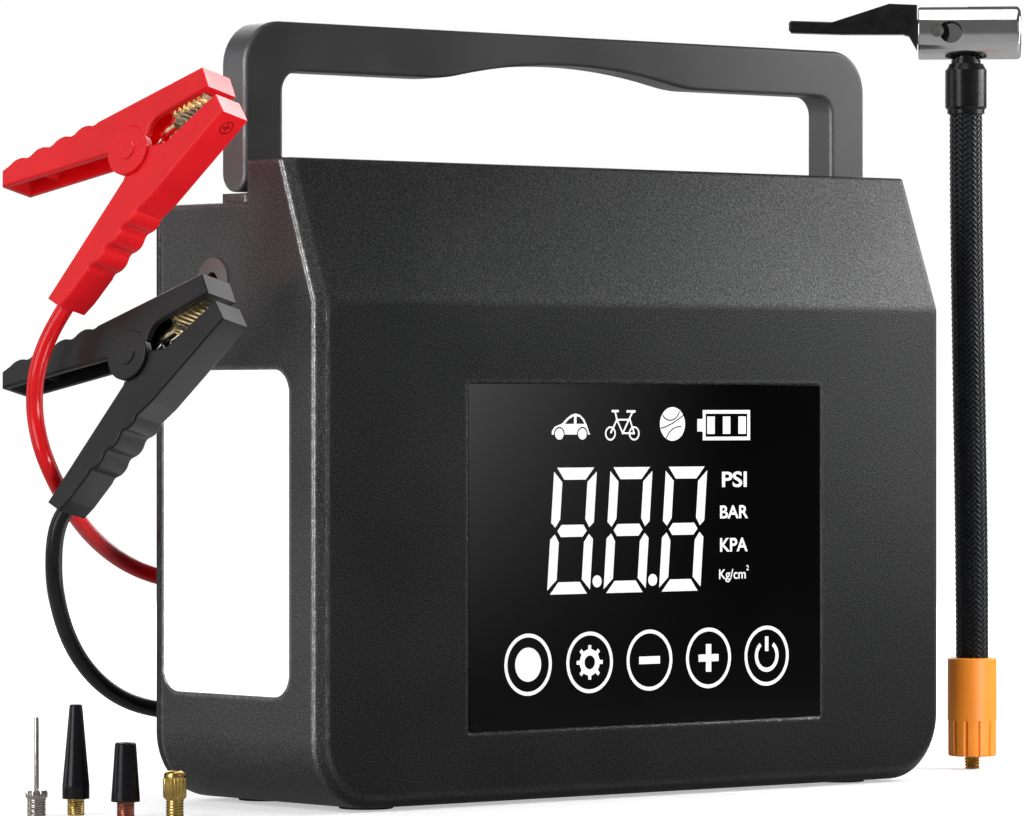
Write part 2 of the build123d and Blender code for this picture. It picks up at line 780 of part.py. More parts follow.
def cylinder():
    """Compressor cylinder."""
    z0 = crank_z + 29.5
    z1 = piston_z() + piston_h + 2.0
    tube = rod_along("Z", bore_r + cylinder_wall, (crank_x, cylinder_y(), z0), z1 - z0)
    return tube - rod_along("Z", bore_r, (crank_x, cylinder_y(), z0 - 1), z1 - z0 + 2)


def cylinder_head():
    """Head with the valve chamber and the tube nipple."""
    z0 = piston_z() + piston_h + 2.0 + skin
    y = cylinder_y()
    head = rod_along("Z", bore_r + cylinder_wall + 0.8, (crank_x, y, z0), 9.0)
    head = head - rod_along("Z", bore_r - 2, (crank_x, y, z0 - 1), 4.0)
    reach = crank_x - head_barb_x() + 4.0
    nipple = rod_along("X", 2.0, (head_barb_x() - 4.0, y, head_z()), reach)
    bore = rod_along("X", 0.9, (head_barb_x() - 5.0, y, head_z()), reach)
    drop = rod_along("Z", 0.9, (crank_x, y, z0), head_z() - z0)
    return head + nipple - bore - drop


def piston_rod():
    """Wobble piston: rod and piston in one piece."""
    y = cylinder_y()
    rod = block(crank_x - 3, crank_x + 3, y - 2, y + 2, top_pin_z(), piston_z() + 1)
    eye = rod_along("Y", 5.2, (crank_x, y - 2, top_pin_z()), 4)
    crown = rod_along("Z", bore_r - run_fit, (crank_x, y, piston_z()), piston_h)
    hole = rod_along("Y", 2.6, (crank_x, y - 3, top_pin_z()), 6)
    return rod + eye + crown - hole


# ================================================================ clamps
clamp_axis = (-0.96, -0.1611, 0.2289)      # the pivot pin, towards the seen side
clamp_x = (0.1655, -0.9862, 0.0)


def clamp_plane(drop):
    """Middle plane of a clamp, centred on its pivot, Z along the pin."""
    face = Plane(origin=red_pivot, x_dir=clamp_x, z_dir=clamp_axis)
    return Plane(
        origin=face.origin - face.z_dir * disc_half - Vector(0, 0, drop), x_dir=clamp_x, z_dir=clamp_axis
    )


def both_ways(face, half):
    """Prism that reaches the same distance each side of the clamp's middle plane."""
    return extrude(face, half, both=True)


def grip_wave(start, end, count, depth):
    """Scalloped finger grip from start to end: convex bumps with short hollows between."""
    span = (end[0] - start[0], end[1] - start[1])
    length = hypot(*span)
    along = (span[0] / length, span[1] / length)
    out = (-along[1], along[0])
    pitch = length / count

    def at(distance, height):
        return (
            start[0] + along[0] * distance + out[0] * height,
            start[1] + along[1] * distance + out[1] * height,
        )

    edges = []
    for index in range(count):
        begin = index * pitch
        crest = begin + pitch * 0.68
        edges.append(ThreePointArc(at(begin, 0), at((begin + crest) / 2, depth), at(crest, 0)))
        middle = (crest + begin + pitch) / 2
        edges.append(ThreePointArc(at(crest, 0), at(middle, -0.45 * depth), at(begin + pitch, 0)))
    return edges


def chain(points):
    """Straight edges through the points, in order."""
    return [Line(a, b) for a, b in zip(points, points[1:])]


def soften(solid, half, radius):
    """Round the edges where a lever's two flat sides end."""
    def is_flat(point):
        return abs(abs(point.Z) - half) < 0.001

    return fillet([e for e in solid.edges() if is_flat(e @ 0.5) and is_flat(e @ 0)], radius)


def upper_lever():
    """Upper lever: a channel with a closed back, round cheeks at the pivot and a jaw."""
    wave_start, wave_end = (-47.7, -3.0), (-14.3, 9.0)
    tip_top, tip_low = (24.1, 24.1), (27.8, 18.3)
    heel = (10.7, 10.3)
    neck = (7.0, 4.4)
    tail_low, tail_end = (-7.1, -0.8), (-49.5, -9.9)
    tail_top = (-50.6, -4.8)
    edges = grip_wave(wave_start, wave_end, 4, 0.75)
    edges += chain([wave_end, tip_top, tip_low, heel])
    edges.append(ThreePointArc(heel, (7.9, 8.0), neck))
    edges += chain([neck, (0.0, 0.0), tail_low, tail_end, tail_top, wave_start])
    body = both_ways(face_of(*edges) + Circle(disc_r - 0.1), upper_half)
    body = soften(body, upper_half, 0.8)
    under_grip = [(-48.0, -16.0), (-48.3, -6.2), (-46.6, -5.0), (-14.5, 6.6)]
    under_jaw = [(22.4, 21.4), (24.9, 17.5), (25.4, 5.0), (9.0, -9.0)]
    body = body - both_ways(polygon(*under_grip, *under_jaw), neck_half + 0.1)
    rib = both_ways(polygon((-38.4, -5.5), (-37.2, -5.5), (-37.2, 0.0), (-38.4, 0.0)), upper_half - 1)
    body = body + rib
    for side in (-1, 1):
        disc_t = disc_half - neck_half - 0.1
        disc = Pos(0, 0, side * (disc_half - disc_t / 2)) * Cylinder(disc_r, disc_t)
        outer_rim = [e for e in disc.edges() if abs(abs((e @ 0.5).Z) - disc_half) < 0.01]
        disc = fillet(outer_rim, 0.5)
        knob = Pos(0, 0, side * (disc_half + 0.15)) * Cylinder(3.0, 0.7)
        top_rim = [e for e in knob.edges() if abs((e @ 0.5).Z) > disc_half + 0.4]
        body = body + disc + fillet(top_rim, 0.3)
    return body - Cylinder(clamp_pin_r + skin, 2 * (disc_half - 0.8))


def lower_lever():
    """Lower lever: jaw, narrow neck between the upper lever's cheeks, and cable tail."""
    jaw_back, jaw_low = (11.1, 2.0), (13.6, 2.2)
    tip_top, tip_low = (30.4, 16.1), (34.7, 10.8)
    elbow, wave_start = (11.7, -13.7), (6.5, -18.1)
    wave_end, tail_bend = (-9.1, -35.7), (-15.0, -43.2)
    end_right, end_left = (-18.3, -46.4), (-23.6, -43.9)
    inner = (-0.8, -8.8)
    edges = chain([jaw_back, jaw_low, tip_top, tip_low, elbow, wave_start])
    edges += grip_wave(wave_start, wave_end, 3, 0.8)
    edges += chain([wave_end, tail_bend, end_right, end_left, inner, (0.5, 0.5), jaw_back])
    body = soften(both_ways(face_of(*edges), lower_half), lower_half, 0.8)
    for side in (-1, 1):
        seat = Pos(0, 0, side * (neck_half + 5)) * Cylinder(disc_r + 0.3, 10)
        body = body - seat
    body = body + Cylinder(6.4, 2 * neck_half)
    hollow_low = [(9.4, -9.0), (10.4, -12.2), (31.7, 10.4), (29.0, 14.1)]
    hollow_top = [(29.4, 17.0), (26.0, 20.0), (12.0, 9.0), (9.4, 1.0)]
    body = body - both_ways(polygon(*hollow_low, *hollow_top), lower_half - lever_wall)
    bay_front = [(-14.6, -33.0), (-9.2, -31.0), (4.2, -13.0), (10.5, -6.0)]
    bay_back = [(9.5, 8.0), (-9.0, 8.0), (-8.0, -8.0)]
    body = body - both_ways(polygon(*bay_front, *bay_back), 2.9)
    cable_way = Plane(origin=tail_axis_point(-2.0), z_dir=tail_direction()) * Circle(cable_r + skin)
    body = body - extrude(cable_way, 20)
    return body - Cylinder(clamp_pin_r + run_fit, 40)


def tail_direction():
    """Unit vector from the lower lever's tail end towards its neck."""
    return (0.53, 0.848, 0.0)


def tail_axis_point(distance):
    """Point on the cable's axis, counted from the tail end into the lever."""
    run = tail_direction()
    return (-21.2 + run[0] * distance, -45.3 + run[1] * distance, 0.0)


def clamp_pin():
    """Steel pin hidden under the knobs."""
    return Cylinder(clamp_pin_r, 2 * (disc_half - 1.0))


def clamp_spring():
    """Torsion spring, drawn wound as it is with the jaws open."""
    wire_r, coil_r, pitch, height = 0.55, 3.4, 1.25, 3.6
    helix = Pos(0, 0, -height / 2) * Helix(pitch, height, coil_r)
    coil = sweep(Plane(origin=helix @ 0, z_dir=helix % 0) * Circle(wire_r), helix)
    low = Plane(origin=(coil_r, 0, -height / 2), z_dir=(-0.35, -1, 0)) * Circle(wire_r)
    turn = 2 * pi * height / pitch
    top_x, top_y = coil_r * cos(turn), coil_r * sin(turn)
    high = Plane(origin=(top_x, top_y, height / 2), z_dir=(-sin(turn), cos(turn), 0)) * Circle(wire_r)
    return coil + extrude(low, 12) + extrude(high, 9)


def toothed_plate(start, end, depth, thickness, teeth):
    """Outline of a jaw plate: teeth along the line from start to end, standing left of it."""
    span = (end[0] - start[0], end[1] - start[1])
    length = hypot(*span)
    along = (span[0] / length, span[1] / length)
    out = (-along[1], along[0])

    def at(distance, height):
        return (
            start[0] + along[0] * distance + out[0] * height,
            start[1] + along[1] * distance + out[1] * height,
        )

    pitch = length / teeth
    points = [at(0, -thickness)]
    for index in range(teeth):
        points.append(at(index * pitch, 0))
        points.append(at((index + 0.5) * pitch, depth))
    points.append(at(length, 0))
    points.append(at(length, -thickness))
    return polygon(*points)


def upper_jaw():
    """Toothed brass plate in the upper jaw, with the crimp that holds the conductor."""
    plate = both_ways(toothed_plate((24.4, 17.0), (12.4, 11.3), 1.5, 1.3, 7), neck_half - 0.3)
    crimp = Plane(origin=(8.9, 7.2, 0.0), z_dir=(0.86, 0.51, 0.0)) * Circle(1.7)
    wire = Plane(origin=(6.6, 6.0, 0.0), z_dir=(0.86, 0.51, 0.0)) * Circle(1.2)
    tab = both_ways(polygon((11.0, 8.0), (12.6, 9.0), (13.4, 12.6), (11.8, 12.0)), 2.0)
    return plate + extrude(crimp, 3.4) + extrude(wire, 3.0) + tab


def lower_jaw():
    """Toothed brass plate in the lower jaw."""
    outline = toothed_plate((13.8, 2.5), (28.0, 14.2), 1.5, 1.3, 8)
    return both_ways(outline, lower_half - lever_wall - 0.15)


# ================================================================ cables
def on_clamp(plane, point):
    """World position of a point given in a clamp's own plane."""
    return plane.from_local_coords(Vector(*point))


def cable(drop, boot_z, waypoints):
    """Cable from inside the lower lever's tail, through the air, to the bus bar."""
    plane = clamp_plane(drop)
    start = on_clamp(plane, tail_axis_point(12.0))
    leave = on_clamp(plane, tail_axis_point(-1.0))
    out_direction = (leave - start).normalized()
    inside = Vector(boot_x, 28.7, boot_z)
    mouth = Vector(boot_x, 51.0, boot_z)
    bend = Spline(
        leave,
        *[Vector(*point) for point in waypoints],
        mouth,
        tangents=(out_direction, Vector(0, -1, 0)),
        tangent_scalars=(1.0, 1.0),
    )
    path = Wire([Line(start, leave), bend, Line(mouth, inside)])
    return sweep(Plane(origin=start, z_dir=out_direction) * Circle(cable_r), path)


def red_cable():
    """Red cable: hangs down outside the black clamp, then swings in behind the case."""
    waypoints = [
        (-168.2, 38.1, 128.0),
        (-167.7, 39.0, 111.0),
        (-166.9, 36.6, 103.2),
        (-162.2, 37.4, 95.3),
        (-147.2, 47.2, 84.3),
        (-126.7, 61.1, 74.7),
        (-100.0, 64.5, 65.0),
    ]
    return cable(0.0, red_boot_z, waypoints)


def black_cable():
    """Black cable: the same, lower down."""
    waypoints = [
        (-163.5, 36.5, 73.0),
        (-155.0, 46.0, 58.7),
        (-139.6, 57.5, 43.2),
        (-119.0, 64.5, 30.0),
        (-99.5, 64.0, 25.0),
    ]
    return cable(clamp_drop, black_boot_z, waypoints)


def cable_boots():
    """Rubber strain reliefs where the cables leave the back cover."""
    boots = []
    for z in (red_boot_z, black_boot_z):
        boot = rod_along("Y", 7.0, (boot_x, rear_y - wall - 2.2, z), 2.1)
        boot = boot + rod_along("Y", 5.0, (boot_x, rear_y - wall - 0.5, z), wall + 1)
        boot = boot + rod_along("Y", 6.4, (boot_x, rear_y + 0.05, z), 1.6)
        sleeve = Plane(origin=(boot_x, rear_y + 5.6, z), z_dir=(0, 1, 0)) * Cone(4.9, 3.5, 9.0)
        boot = boot + sleeve
        boots.append(boot - rod_along("Y", cable_r + skin, (boot_x, rear_y - 8, z), 30))
    return Compound(children=boots)


# ================================================================ hose
hose_top_xy = (hose_x - 0.763 * hose_lean, hose_y + 0.646 * hose_lean)


def hose():
    """Braided hose, leaning a little, with a through bore."""
    start = (hose_x, hose_y, nut_z0 + 10.0)
    end = (*hose_top_xy, hose_top + 9.0)
    low = (hose_x, hose_y, nut_z1)
    high = (*hose_top_xy, hose_top)
    bend = Spline(low, high, tangents=((0, 0, 1), (0, 0, 1)))
    path = Wire([Line(start, low), bend, Line(high, end)])
    tube = sweep(Plane(origin=start, z_dir=(0, 0, 1)) * Circle(hose_r), path)
    return tube - sweep(Plane(origin=start, z_dir=(0, 0, 1)) * Circle(2.5), path)


def coupling_nut():
    """Orange swivel nut, fluted at the bottom for the fingers."""
    upper = rod_along("Z", nut_r, (hose_x, hose_y, nut_mid), nut_z1 - nut_mid)
    upper = fillet([e for e in upper.edges() if (e @ 0.5).Z > nut_z1 - 0.1], 0.8)
    grip = rod_along("Z", nut_grip_r, (hose_x, hose_y, nut_z0), nut_mid - nut_z0 + 0.1)
    grip = fillet([e for e in grip.edges() if (e @ 0.5).Z < nut_z0 + 0.1], 0.6)
    for index in range(flute_count):
        turn = 2 * pi * index / flute_count
        x = hose_x + (nut_grip_r + 0.1) * cos(turn)
        y = hose_y + (nut_grip_r + 0.1) * sin(turn)
        grip = grip - rod_along("Z", flute_r, (x, y, nut_z0 - 1), nut_mid - nut_z0 + 1)
    nut = upper + grip
    nut = nut - rod_along("Z", hose_r + run_fit, (hose_x, hose_y, nut_z0 + 9.8), 40)
    nut = nut - rod_along("Z", 4.6 + skin, (hose_x, hose_y, nut_z0 + 2.0), 20)
    return nut - rod_along("Z", 2.5 + skin, (hose_x, hose_y, 0), 20)


def coupling_stud():
    """Brass stud that screws into the air outlet, with its barb inside the hose."""
    stud = rod_along("Z", 2.5, (hose_x, hose_y, 0), nut_z0)
    stud = stud + rod_along("Z", 2.3, (hose_x, hose_y, nut_z0), 3)
    flange = rod_along("Z", 4.6, (hose_x, hose_y, nut_z0 + 2.0 + skin), 5.0)
    barb = rod_along("Z", 2.45, (hose_x, hose_y, nut_z0 + 6.5), 12.0)
    bore = rod_along("Z", 1.1, (hose_x, hose_y, -1), 40)
    return stud + flange + barb - bore


def hose_sleeve():
    """Crimped black sleeve between the hose and the chuck."""
    x, y = hose_top_xy
    profile = [
        (hose_r + skin, hose_top + 0.05),
        (6.05, hose_top + 0.05),
        (6.05, hose_top + 1.3),
        (6.75, hose_top + 2.2),
        (6.75, hose_top + 14.2),
        (5.6, hose_top + 16.2),
        (4.8, hose_top + 16.2),
        (4.8, sleeve_top + 0.2),
        (4.2, sleeve_top + 0.2),
        (4.2, sleeve_top + 2.4),
        (1.6, sleeve_top + 2.4),
        (1.6, hose_top + 9.1),
        (hose_r + skin, hose_top + 9.1),
    ]
    return Pos(x, y, 0) * turned(*profile)


def chuck_place():
    """Placement of the chuck: X along the barrel, its open end at +X, Z up."""
    return Location(Plane(origin=(*hose_top_xy, barrel_z), x_dir=(1, -1, 0), z_dir=(0, 0, 1)))


def chuck_barrel():
    """Chromed barrel, slotted at one end for the lever and bored at the other."""
    barrel = rod_along("X", barrel_r, (-barrel_left, 0, 0), barrel_left + barrel_right)
    right = [e for e in barrel.edges() if abs((e @ 0.5).X - barrel_right) < 0.01]
    barrel = fillet(right, 1.6)
    left = [e for e in barrel.edges() if abs((e @ 0.5).X + barrel_left) < 0.01]
    barrel = fillet(left, 0.4)
    barrel = barrel - rod_along("X", seal_r, (1.5, 0, 0), 40)
    barrel = barrel - block(-20.0, 0.6, -3.4, 3.4, -6.6, 12.0)
    barrel = barrel - rod_along("Y", 3.7, (-4.8, -20.0, -0.1), 20)
    barrel = barrel - rod_along("Y", lever_pin_r + skin, (lever_pivot_x, -20.0, lever_pivot_z), 40)
    return barrel - rod_along("Z", 4.2 + skin, (0, 0, -20.0), 18.0)


def chuck_lever():
    """Black lever, thin at its tip, that flips up about the pin."""
    tip = [(-40.0, -0.5), (-56.6, 0.1), (-57.3, 0.9), (-57.3, 3.3), (-56.6, 4.0), (-43.0, 3.5)]
    shoulder = [(-24.8, 9.3), (-15.8, 8.9), (-15.8, 4.1)]
    hub = [(lever_pivot_x, 4.1), (lever_pivot_x, -3.7), (-15.8, -3.7)]
    hook = [(-15.8, -5.9), (-17.2, -3.4), (-18.4, -1.2), (-20.4, -0.6)]
    outline = polygon(*tip, *shoulder, *hub, *hook)
    outline = outline + Pos(lever_pivot_x, lever_pivot_z) * Circle(3.9)
    lever = extrude(Plane.XZ * outline, lever_half, both=True)
    lever = lever - rod_along("Y", lever_pin_r + run_fit, (lever_pivot_x, -10.0, lever_pivot_z), 20)
    flat_rims = [e for e in lever.edges() if abs(abs((e @ 0.5).Y) - lever_half) < 0.01]
    thin = [e for e in flat_rims if (e @ 0.5).X < -43.5]
    return fillet(thin, 0.7)


def chuck_pin():
    """Steel pin of the chuck lever."""
    return rod_along("Y", lever_pin_r, (lever_pivot_x, -8.1, lever_pivot_z), 16.2)


def chuck_seal():
    """Rubber bush in the chuck's mouth that seals on the tyre valve."""
    seal = rod_along("X", seal_r - skin, (6.0, 0, 0), barrel_right - 6.4)
    return seal - rod_along("X", valve_r, (5.0, 0, 0), 30)


# ================================================================ nozzles
def at_floor(place, *profile):
    """Turned piece that stands on the floor at a place."""
    return Pos(place[0], place[1], 0) * turned(*profile)


def ball_needle():
    """Ball needle: threaded foot, knurled head and a thin tube brazed into it."""
    thread = [(0.35, 0), (2.5, 0), (2.75, 0.4), (2.75, 5.3)]
    head = [(3.2, 5.4), (3.2, 6.6), (2.6, 7.7), (0.35, 7.7)]
    tube = [(0.35, 2.0), (0.7, 2.0), (0.7, 28.0), (0.6, 28.3), (0.35, 28.3)]
    return at_floor(needle_at, *thread, *head) + at_floor(needle_at, *tube)


def long_cone_thread():
    """Brass foot of the long cone."""
    thread = [(1.2, 0), (2.3, 0), (2.55, 0.4), (2.55, 4.78)]
    spigot = [(1.9, 4.78), (1.9, 9.8), (1.2, 9.8)]
    return at_floor(long_cone_at, *thread, *spigot)


def long_cone():
    """Long black cone nozzle."""
    outside = [(1.92, 4.8), (3.9, 4.8), (3.9, 8.4), (1.85, 31.6), (1.65, 31.8)]
    inside = [(1.0, 31.8), (1.0, 9.82), (1.92, 9.82)]
    return at_floor(long_cone_at, *outside, *inside)


def short_cone_thread():
    """Copper-coloured foot of the short cone."""
    thread = [(1.3, 0), (2.35, 0), (2.6, 0.4), (2.6, 4.28)]
    spigot = [(2.0, 4.28), (2.0, 8.8), (1.3, 8.8)]
    return at_floor(short_cone_at, *thread, *spigot)


def short_cone():
    """Short black cone nozzle."""
    outside = [(2.02, 4.3), (4.1, 4.3), (4.15, 4.7), (3.05, 20.8), (2.75, 21.2)]
    inside = [(1.4, 21.2), (1.4, 8.82), (2.02, 8.82)]
    return at_floor(short_cone_at, *outside, *inside)


def valve_adapter():
    """Brass adapter from a narrow valve to a tyre valve, slotted at the top."""
    thread = [(1.6, 0), (2.45, 0), (2.6, 0.3), (2.6, 5.2)]
    head = [(3.4, 5.6), (3.4, 11.9), (2.9, 13.2)]
    inside = [(1.9, 13.2), (1.9, 6.0), (1.6, 6.0)]
    x, y = adapter_at
    slot = block(x - 6, x, y - 0.5, y + 0.5, 10.4, 14.0)
    return at_floor(adapter_at, *thread, *head, *inside) - slot


# ================================================================ all nodes
def clamp_nodes(colour, drop):
    """Name and shape of each piece of one clamp."""
    place = Location(clamp_plane(drop))
    makers = {
        "upper_lever": upper_lever,
        "lower_lever": lower_lever,
        "clamp_pin": clamp_pin,
        "clamp_spring": clamp_spring,
        "upper_jaw": upper_jaw,
        "lower_jaw": lower_jaw,
    }
    return {f"{colour}_{name}": place * make() for name, make in makers.items()}


def build():
    """Every node by name."""
    makers = [
        front_shell, rear_cover, display_glass, display_module, light_lens, light_board,
        outlet_ring, air_outlet, air_tube, handle_bar, handle_pivot_pins, handle_washers,
        case_screws, rubber_feet, port_sockets, port_board, port_cover, battery_cells,
        battery_tray, bus_bars, main_board, board_parts, motor_can, motor_pinion, crank_gear,
        crank_axle, crank_bush, compressor_frame, cylinder, cylinder_head, piston_rod,
        red_cable, black_cable, cable_boots, hose, coupling_nut, coupling_stud, hose_sleeve,
        ball_needle, long_cone, long_cone_thread, short_cone, short_cone_thread,
        valve_adapter,
    ]
    nodes = {make.__name__: make() for make in makers}
    for make in (chuck_barrel, chuck_lever, chuck_pin, chuck_seal):
        nodes[make.__name__] = chuck_place() * make()
    nodes.update(clamp_nodes("red", 0.0))
    nodes.update(clamp_nodes("black", clamp_drop))
    return nodes


os.makedirs("parts", exist_ok=True)
for node_name, node_shape in build().items():
    save(node_name, node_shape)
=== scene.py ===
import json
from math import cos, hypot, pi, radians, sin

import bmesh
import bpy
from mathutils import Matrix, Vector


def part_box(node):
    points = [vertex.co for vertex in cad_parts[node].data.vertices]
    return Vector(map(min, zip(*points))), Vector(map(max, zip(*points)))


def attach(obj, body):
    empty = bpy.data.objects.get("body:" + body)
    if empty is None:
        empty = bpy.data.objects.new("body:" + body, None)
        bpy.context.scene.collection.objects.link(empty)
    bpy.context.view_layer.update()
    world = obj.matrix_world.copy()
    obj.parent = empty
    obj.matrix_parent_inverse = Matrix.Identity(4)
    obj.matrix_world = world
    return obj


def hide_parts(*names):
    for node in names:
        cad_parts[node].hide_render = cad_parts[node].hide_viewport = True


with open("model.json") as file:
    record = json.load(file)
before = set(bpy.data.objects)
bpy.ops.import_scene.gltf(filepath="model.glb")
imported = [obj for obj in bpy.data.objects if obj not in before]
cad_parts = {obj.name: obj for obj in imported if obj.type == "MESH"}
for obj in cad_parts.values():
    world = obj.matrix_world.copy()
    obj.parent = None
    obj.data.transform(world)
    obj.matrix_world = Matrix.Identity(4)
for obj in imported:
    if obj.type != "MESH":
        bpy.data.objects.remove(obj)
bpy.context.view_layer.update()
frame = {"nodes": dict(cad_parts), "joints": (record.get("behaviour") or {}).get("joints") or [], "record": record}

# Looks of the jump starter pack: finishes, lit display, braid, threads, light and camera.
# Blender works in metres. The drawing helpers take millimetres and multiply by MM.
MM = 0.001


# ================================================================ shader helpers
def add(tree, kind, values=None, **settings):
    """New shader node; values fill its inputs and settings its own properties."""
    node = tree.nodes.new(kind)
    for key, value in settings.items():
        setattr(node, key, value)
    for key, value in (values or {}).items():
        if isinstance(value, bpy.types.NodeSocket):
            tree.links.new(value, node.inputs[key])
        else:
            node.inputs[key].default_value = value
    return node


def noise(tree, size_mm, detail=2.0, stretch=(1.0, 1.0, 1.0)):
    """Noise whose blotches are about size_mm wide, or longer along an axis stretched below 1."""
    coordinates = add(tree, "ShaderNodeTexCoord").outputs["Object"]
    scale = [share / (size_mm * MM) for share in stretch]
    place = add(tree, "ShaderNodeMapping", {"Vector": coordinates, "Scale": scale})
    texture = add(tree, "ShaderNodeTexNoise", {"Vector": place.outputs[0], "Scale": 1.0, "Detail": detail})
    return texture.outputs["Fac"]


def remap(tree, value, low, high, out_low, out_high):
    """Value stretched from low-high to out_low-out_high and clamped."""
    node = add(
        tree,
        "ShaderNodeMapRange",
        {"Value": value, "From Min": low, "From Max": high, "To Min": out_low, "To Max": out_high},
    )
    return node.outputs["Result"]


def math(tree, operation, a, b):
    """One arithmetic step."""
    node = add(tree, "ShaderNodeMath", operation=operation)
    for index, value in enumerate((a, b)):
        if isinstance(value, bpy.types.NodeSocket):
            tree.links.new(value, node.inputs[index])
        else:
            node.inputs[index].default_value = value
    return node.outputs[0]


def mix(tree, share, a, b):
    """Colour a where share is 0, b where it is 1."""
    return add(tree, "ShaderNodeMixRGB", {"Fac": share, "Color1": a, "Color2": b}).outputs["Color"]


def rgba(colour, gain=1.0):
    """Colour with alpha, made brighter or darker by gain."""
    return tuple(min(1.0, channel * gain) for channel in colour) + (1.0,)


def edge_mask(tree, radius_mm):
    """1 along convex and concave edges, 0 on flat ground, broken up by noise."""
    rounded = add(tree, "ShaderNodeBevel", {"Radius": radius_mm * MM}, samples=4).outputs["Normal"]
    plain = add(tree, "ShaderNodeNewGeometry").outputs["Normal"]
    dot = add(tree, "ShaderNodeVectorMath", {0: rounded, 1: plain}, operation="DOT_PRODUCT")
    flat_cos, edge_cos = 0.995, 0.88
    edge = remap(tree, dot.outputs["Value"], flat_cos, edge_cos, 0.0, 1.0)
    broken = remap(tree, noise(tree, 2.2, 4.0), 0.35, 0.65, 0.25, 1.0)
    return math(tree, "MULTIPLY", edge, broken)


def finish(
    name,
    colour,
    rough,
    metal=0.0,
    patch=0.12,
    patch_mm=14.0,
    grain_mm=0.5,
    grain_depth=0.004,
    speck=0.0,
    wear_and_highlight=0.0,
    wear_and_highlight_gain=3.0,
    stretch=(1.0, 1.0, 1.0),
    glow=0.0,
    soft=0.0,
    wear_and_highlight_mm=0.5,
    wear_rough=0.0,
    shine=0.3,
    wear_shine=0.0,
    sparkle=0.0,
    round_mm=0.0,
):
    """Node material: colour patches, grain in relief, specks, lightened edges and uneven gloss; the edge
    lightening is wear, and where its gain is high (case, handle) also a painted highlight.

    Names that end in _mm are sizes in millimetres, and grain_depth is one too. The rest are shares or gains.
    """
    material = bpy.data.materials.new(name)
    material.use_nodes = True
    tree = material.node_tree
    shader = tree.nodes["Principled BSDF"]
    patches = noise(tree, patch_mm, 3.0)
    grain = noise(tree, grain_mm, 2.0, stretch)
    share = remap(tree, patches, 0.35, 0.65, 0.0, 1.0)
    base = mix(tree, share, rgba(colour, 1 - patch), rgba(colour, 1 + patch))
    if speck:
        speck_gain = 4.0
        spots = remap(tree, grain, 0.52, 0.72, 0.0, speck)
        base = mix(tree, spots, base, rgba(colour, speck_gain))
    gloss = remap(tree, patches, 0.3, 0.7, rough * 0.88, rough * 1.12)
    gloss = math(tree, "ADD", gloss, remap(tree, grain, 0.3, 0.7, -0.03, 0.03))
    relief = 1.0
    reflection = 0.5 if metal else shine
    if wear_and_highlight:
        worn_relief = 0.25
        edges = edge_mask(tree, wear_and_highlight_mm)
        relief = remap(tree, edges, 0.0, 1.0, relief, worn_relief)
        # Lightens the base colour along edges: wear, and with a high gain a painted highlight as well.
        base = mix(tree, math(tree, "MULTIPLY", edges, wear_and_highlight), base, rgba(colour, wear_and_highlight_gain))
        gloss = math(tree, "SUBTRACT", gloss, math(tree, "MULTIPLY", edges, wear_rough))
        level = math(tree, "ADD", reflection, math(tree, "MULTIPLY", edges, wear_shine))
        level = math(tree, "ADD", level, remap(tree, grain, 0.42, 0.68, 0.0, sparkle))
        tree.links.new(level, shader.inputs["Specular IOR Level"])
    tree.links.new(base, shader.inputs["Base Color"])
    tree.links.new(gloss, shader.inputs["Roughness"])
    bump = add(tree, "ShaderNodeBump", {"Height": grain, "Distance": grain_depth * MM, "Strength": relief})
    if round_mm:
        rounded = add(tree, "ShaderNodeBevel", {"Radius": round_mm * MM}, samples=4)
        tree.links.new(rounded.outputs["Normal"], bump.inputs["Normal"])
    tree.links.new(bump.outputs["Normal"], shader.inputs["Normal"])
    shader.inputs["Metallic"].default_value = metal
    shader.inputs["Specular IOR Level"].default_value = reflection
    if soft:
        reach = 2 * MM
        shader.inputs["Subsurface Weight"].default_value = soft
        shader.inputs["Subsurface Radius"].default_value = (reach, reach, reach)
        shader.inputs["Subsurface Scale"].default_value = 1.0
    if glow:
        tree.links.new(base, shader.inputs["Emission Color"])
        shader.inputs["Emission Strength"].default_value = glow
    return material


def turned_marks(name, colour, rough, grain_mm=0.25):
    """Bare metal with fine lines that run round the vertical axis."""
    return finish(
        name, colour, rough, metal=1.0, patch=0.18, patch_mm=3.0, grain_mm=grain_mm,
        grain_depth=0.004, stretch=(0.08, 0.08, 1.0), wear_and_highlight=0.3, wear_and_highlight_gain=1.5,
    )


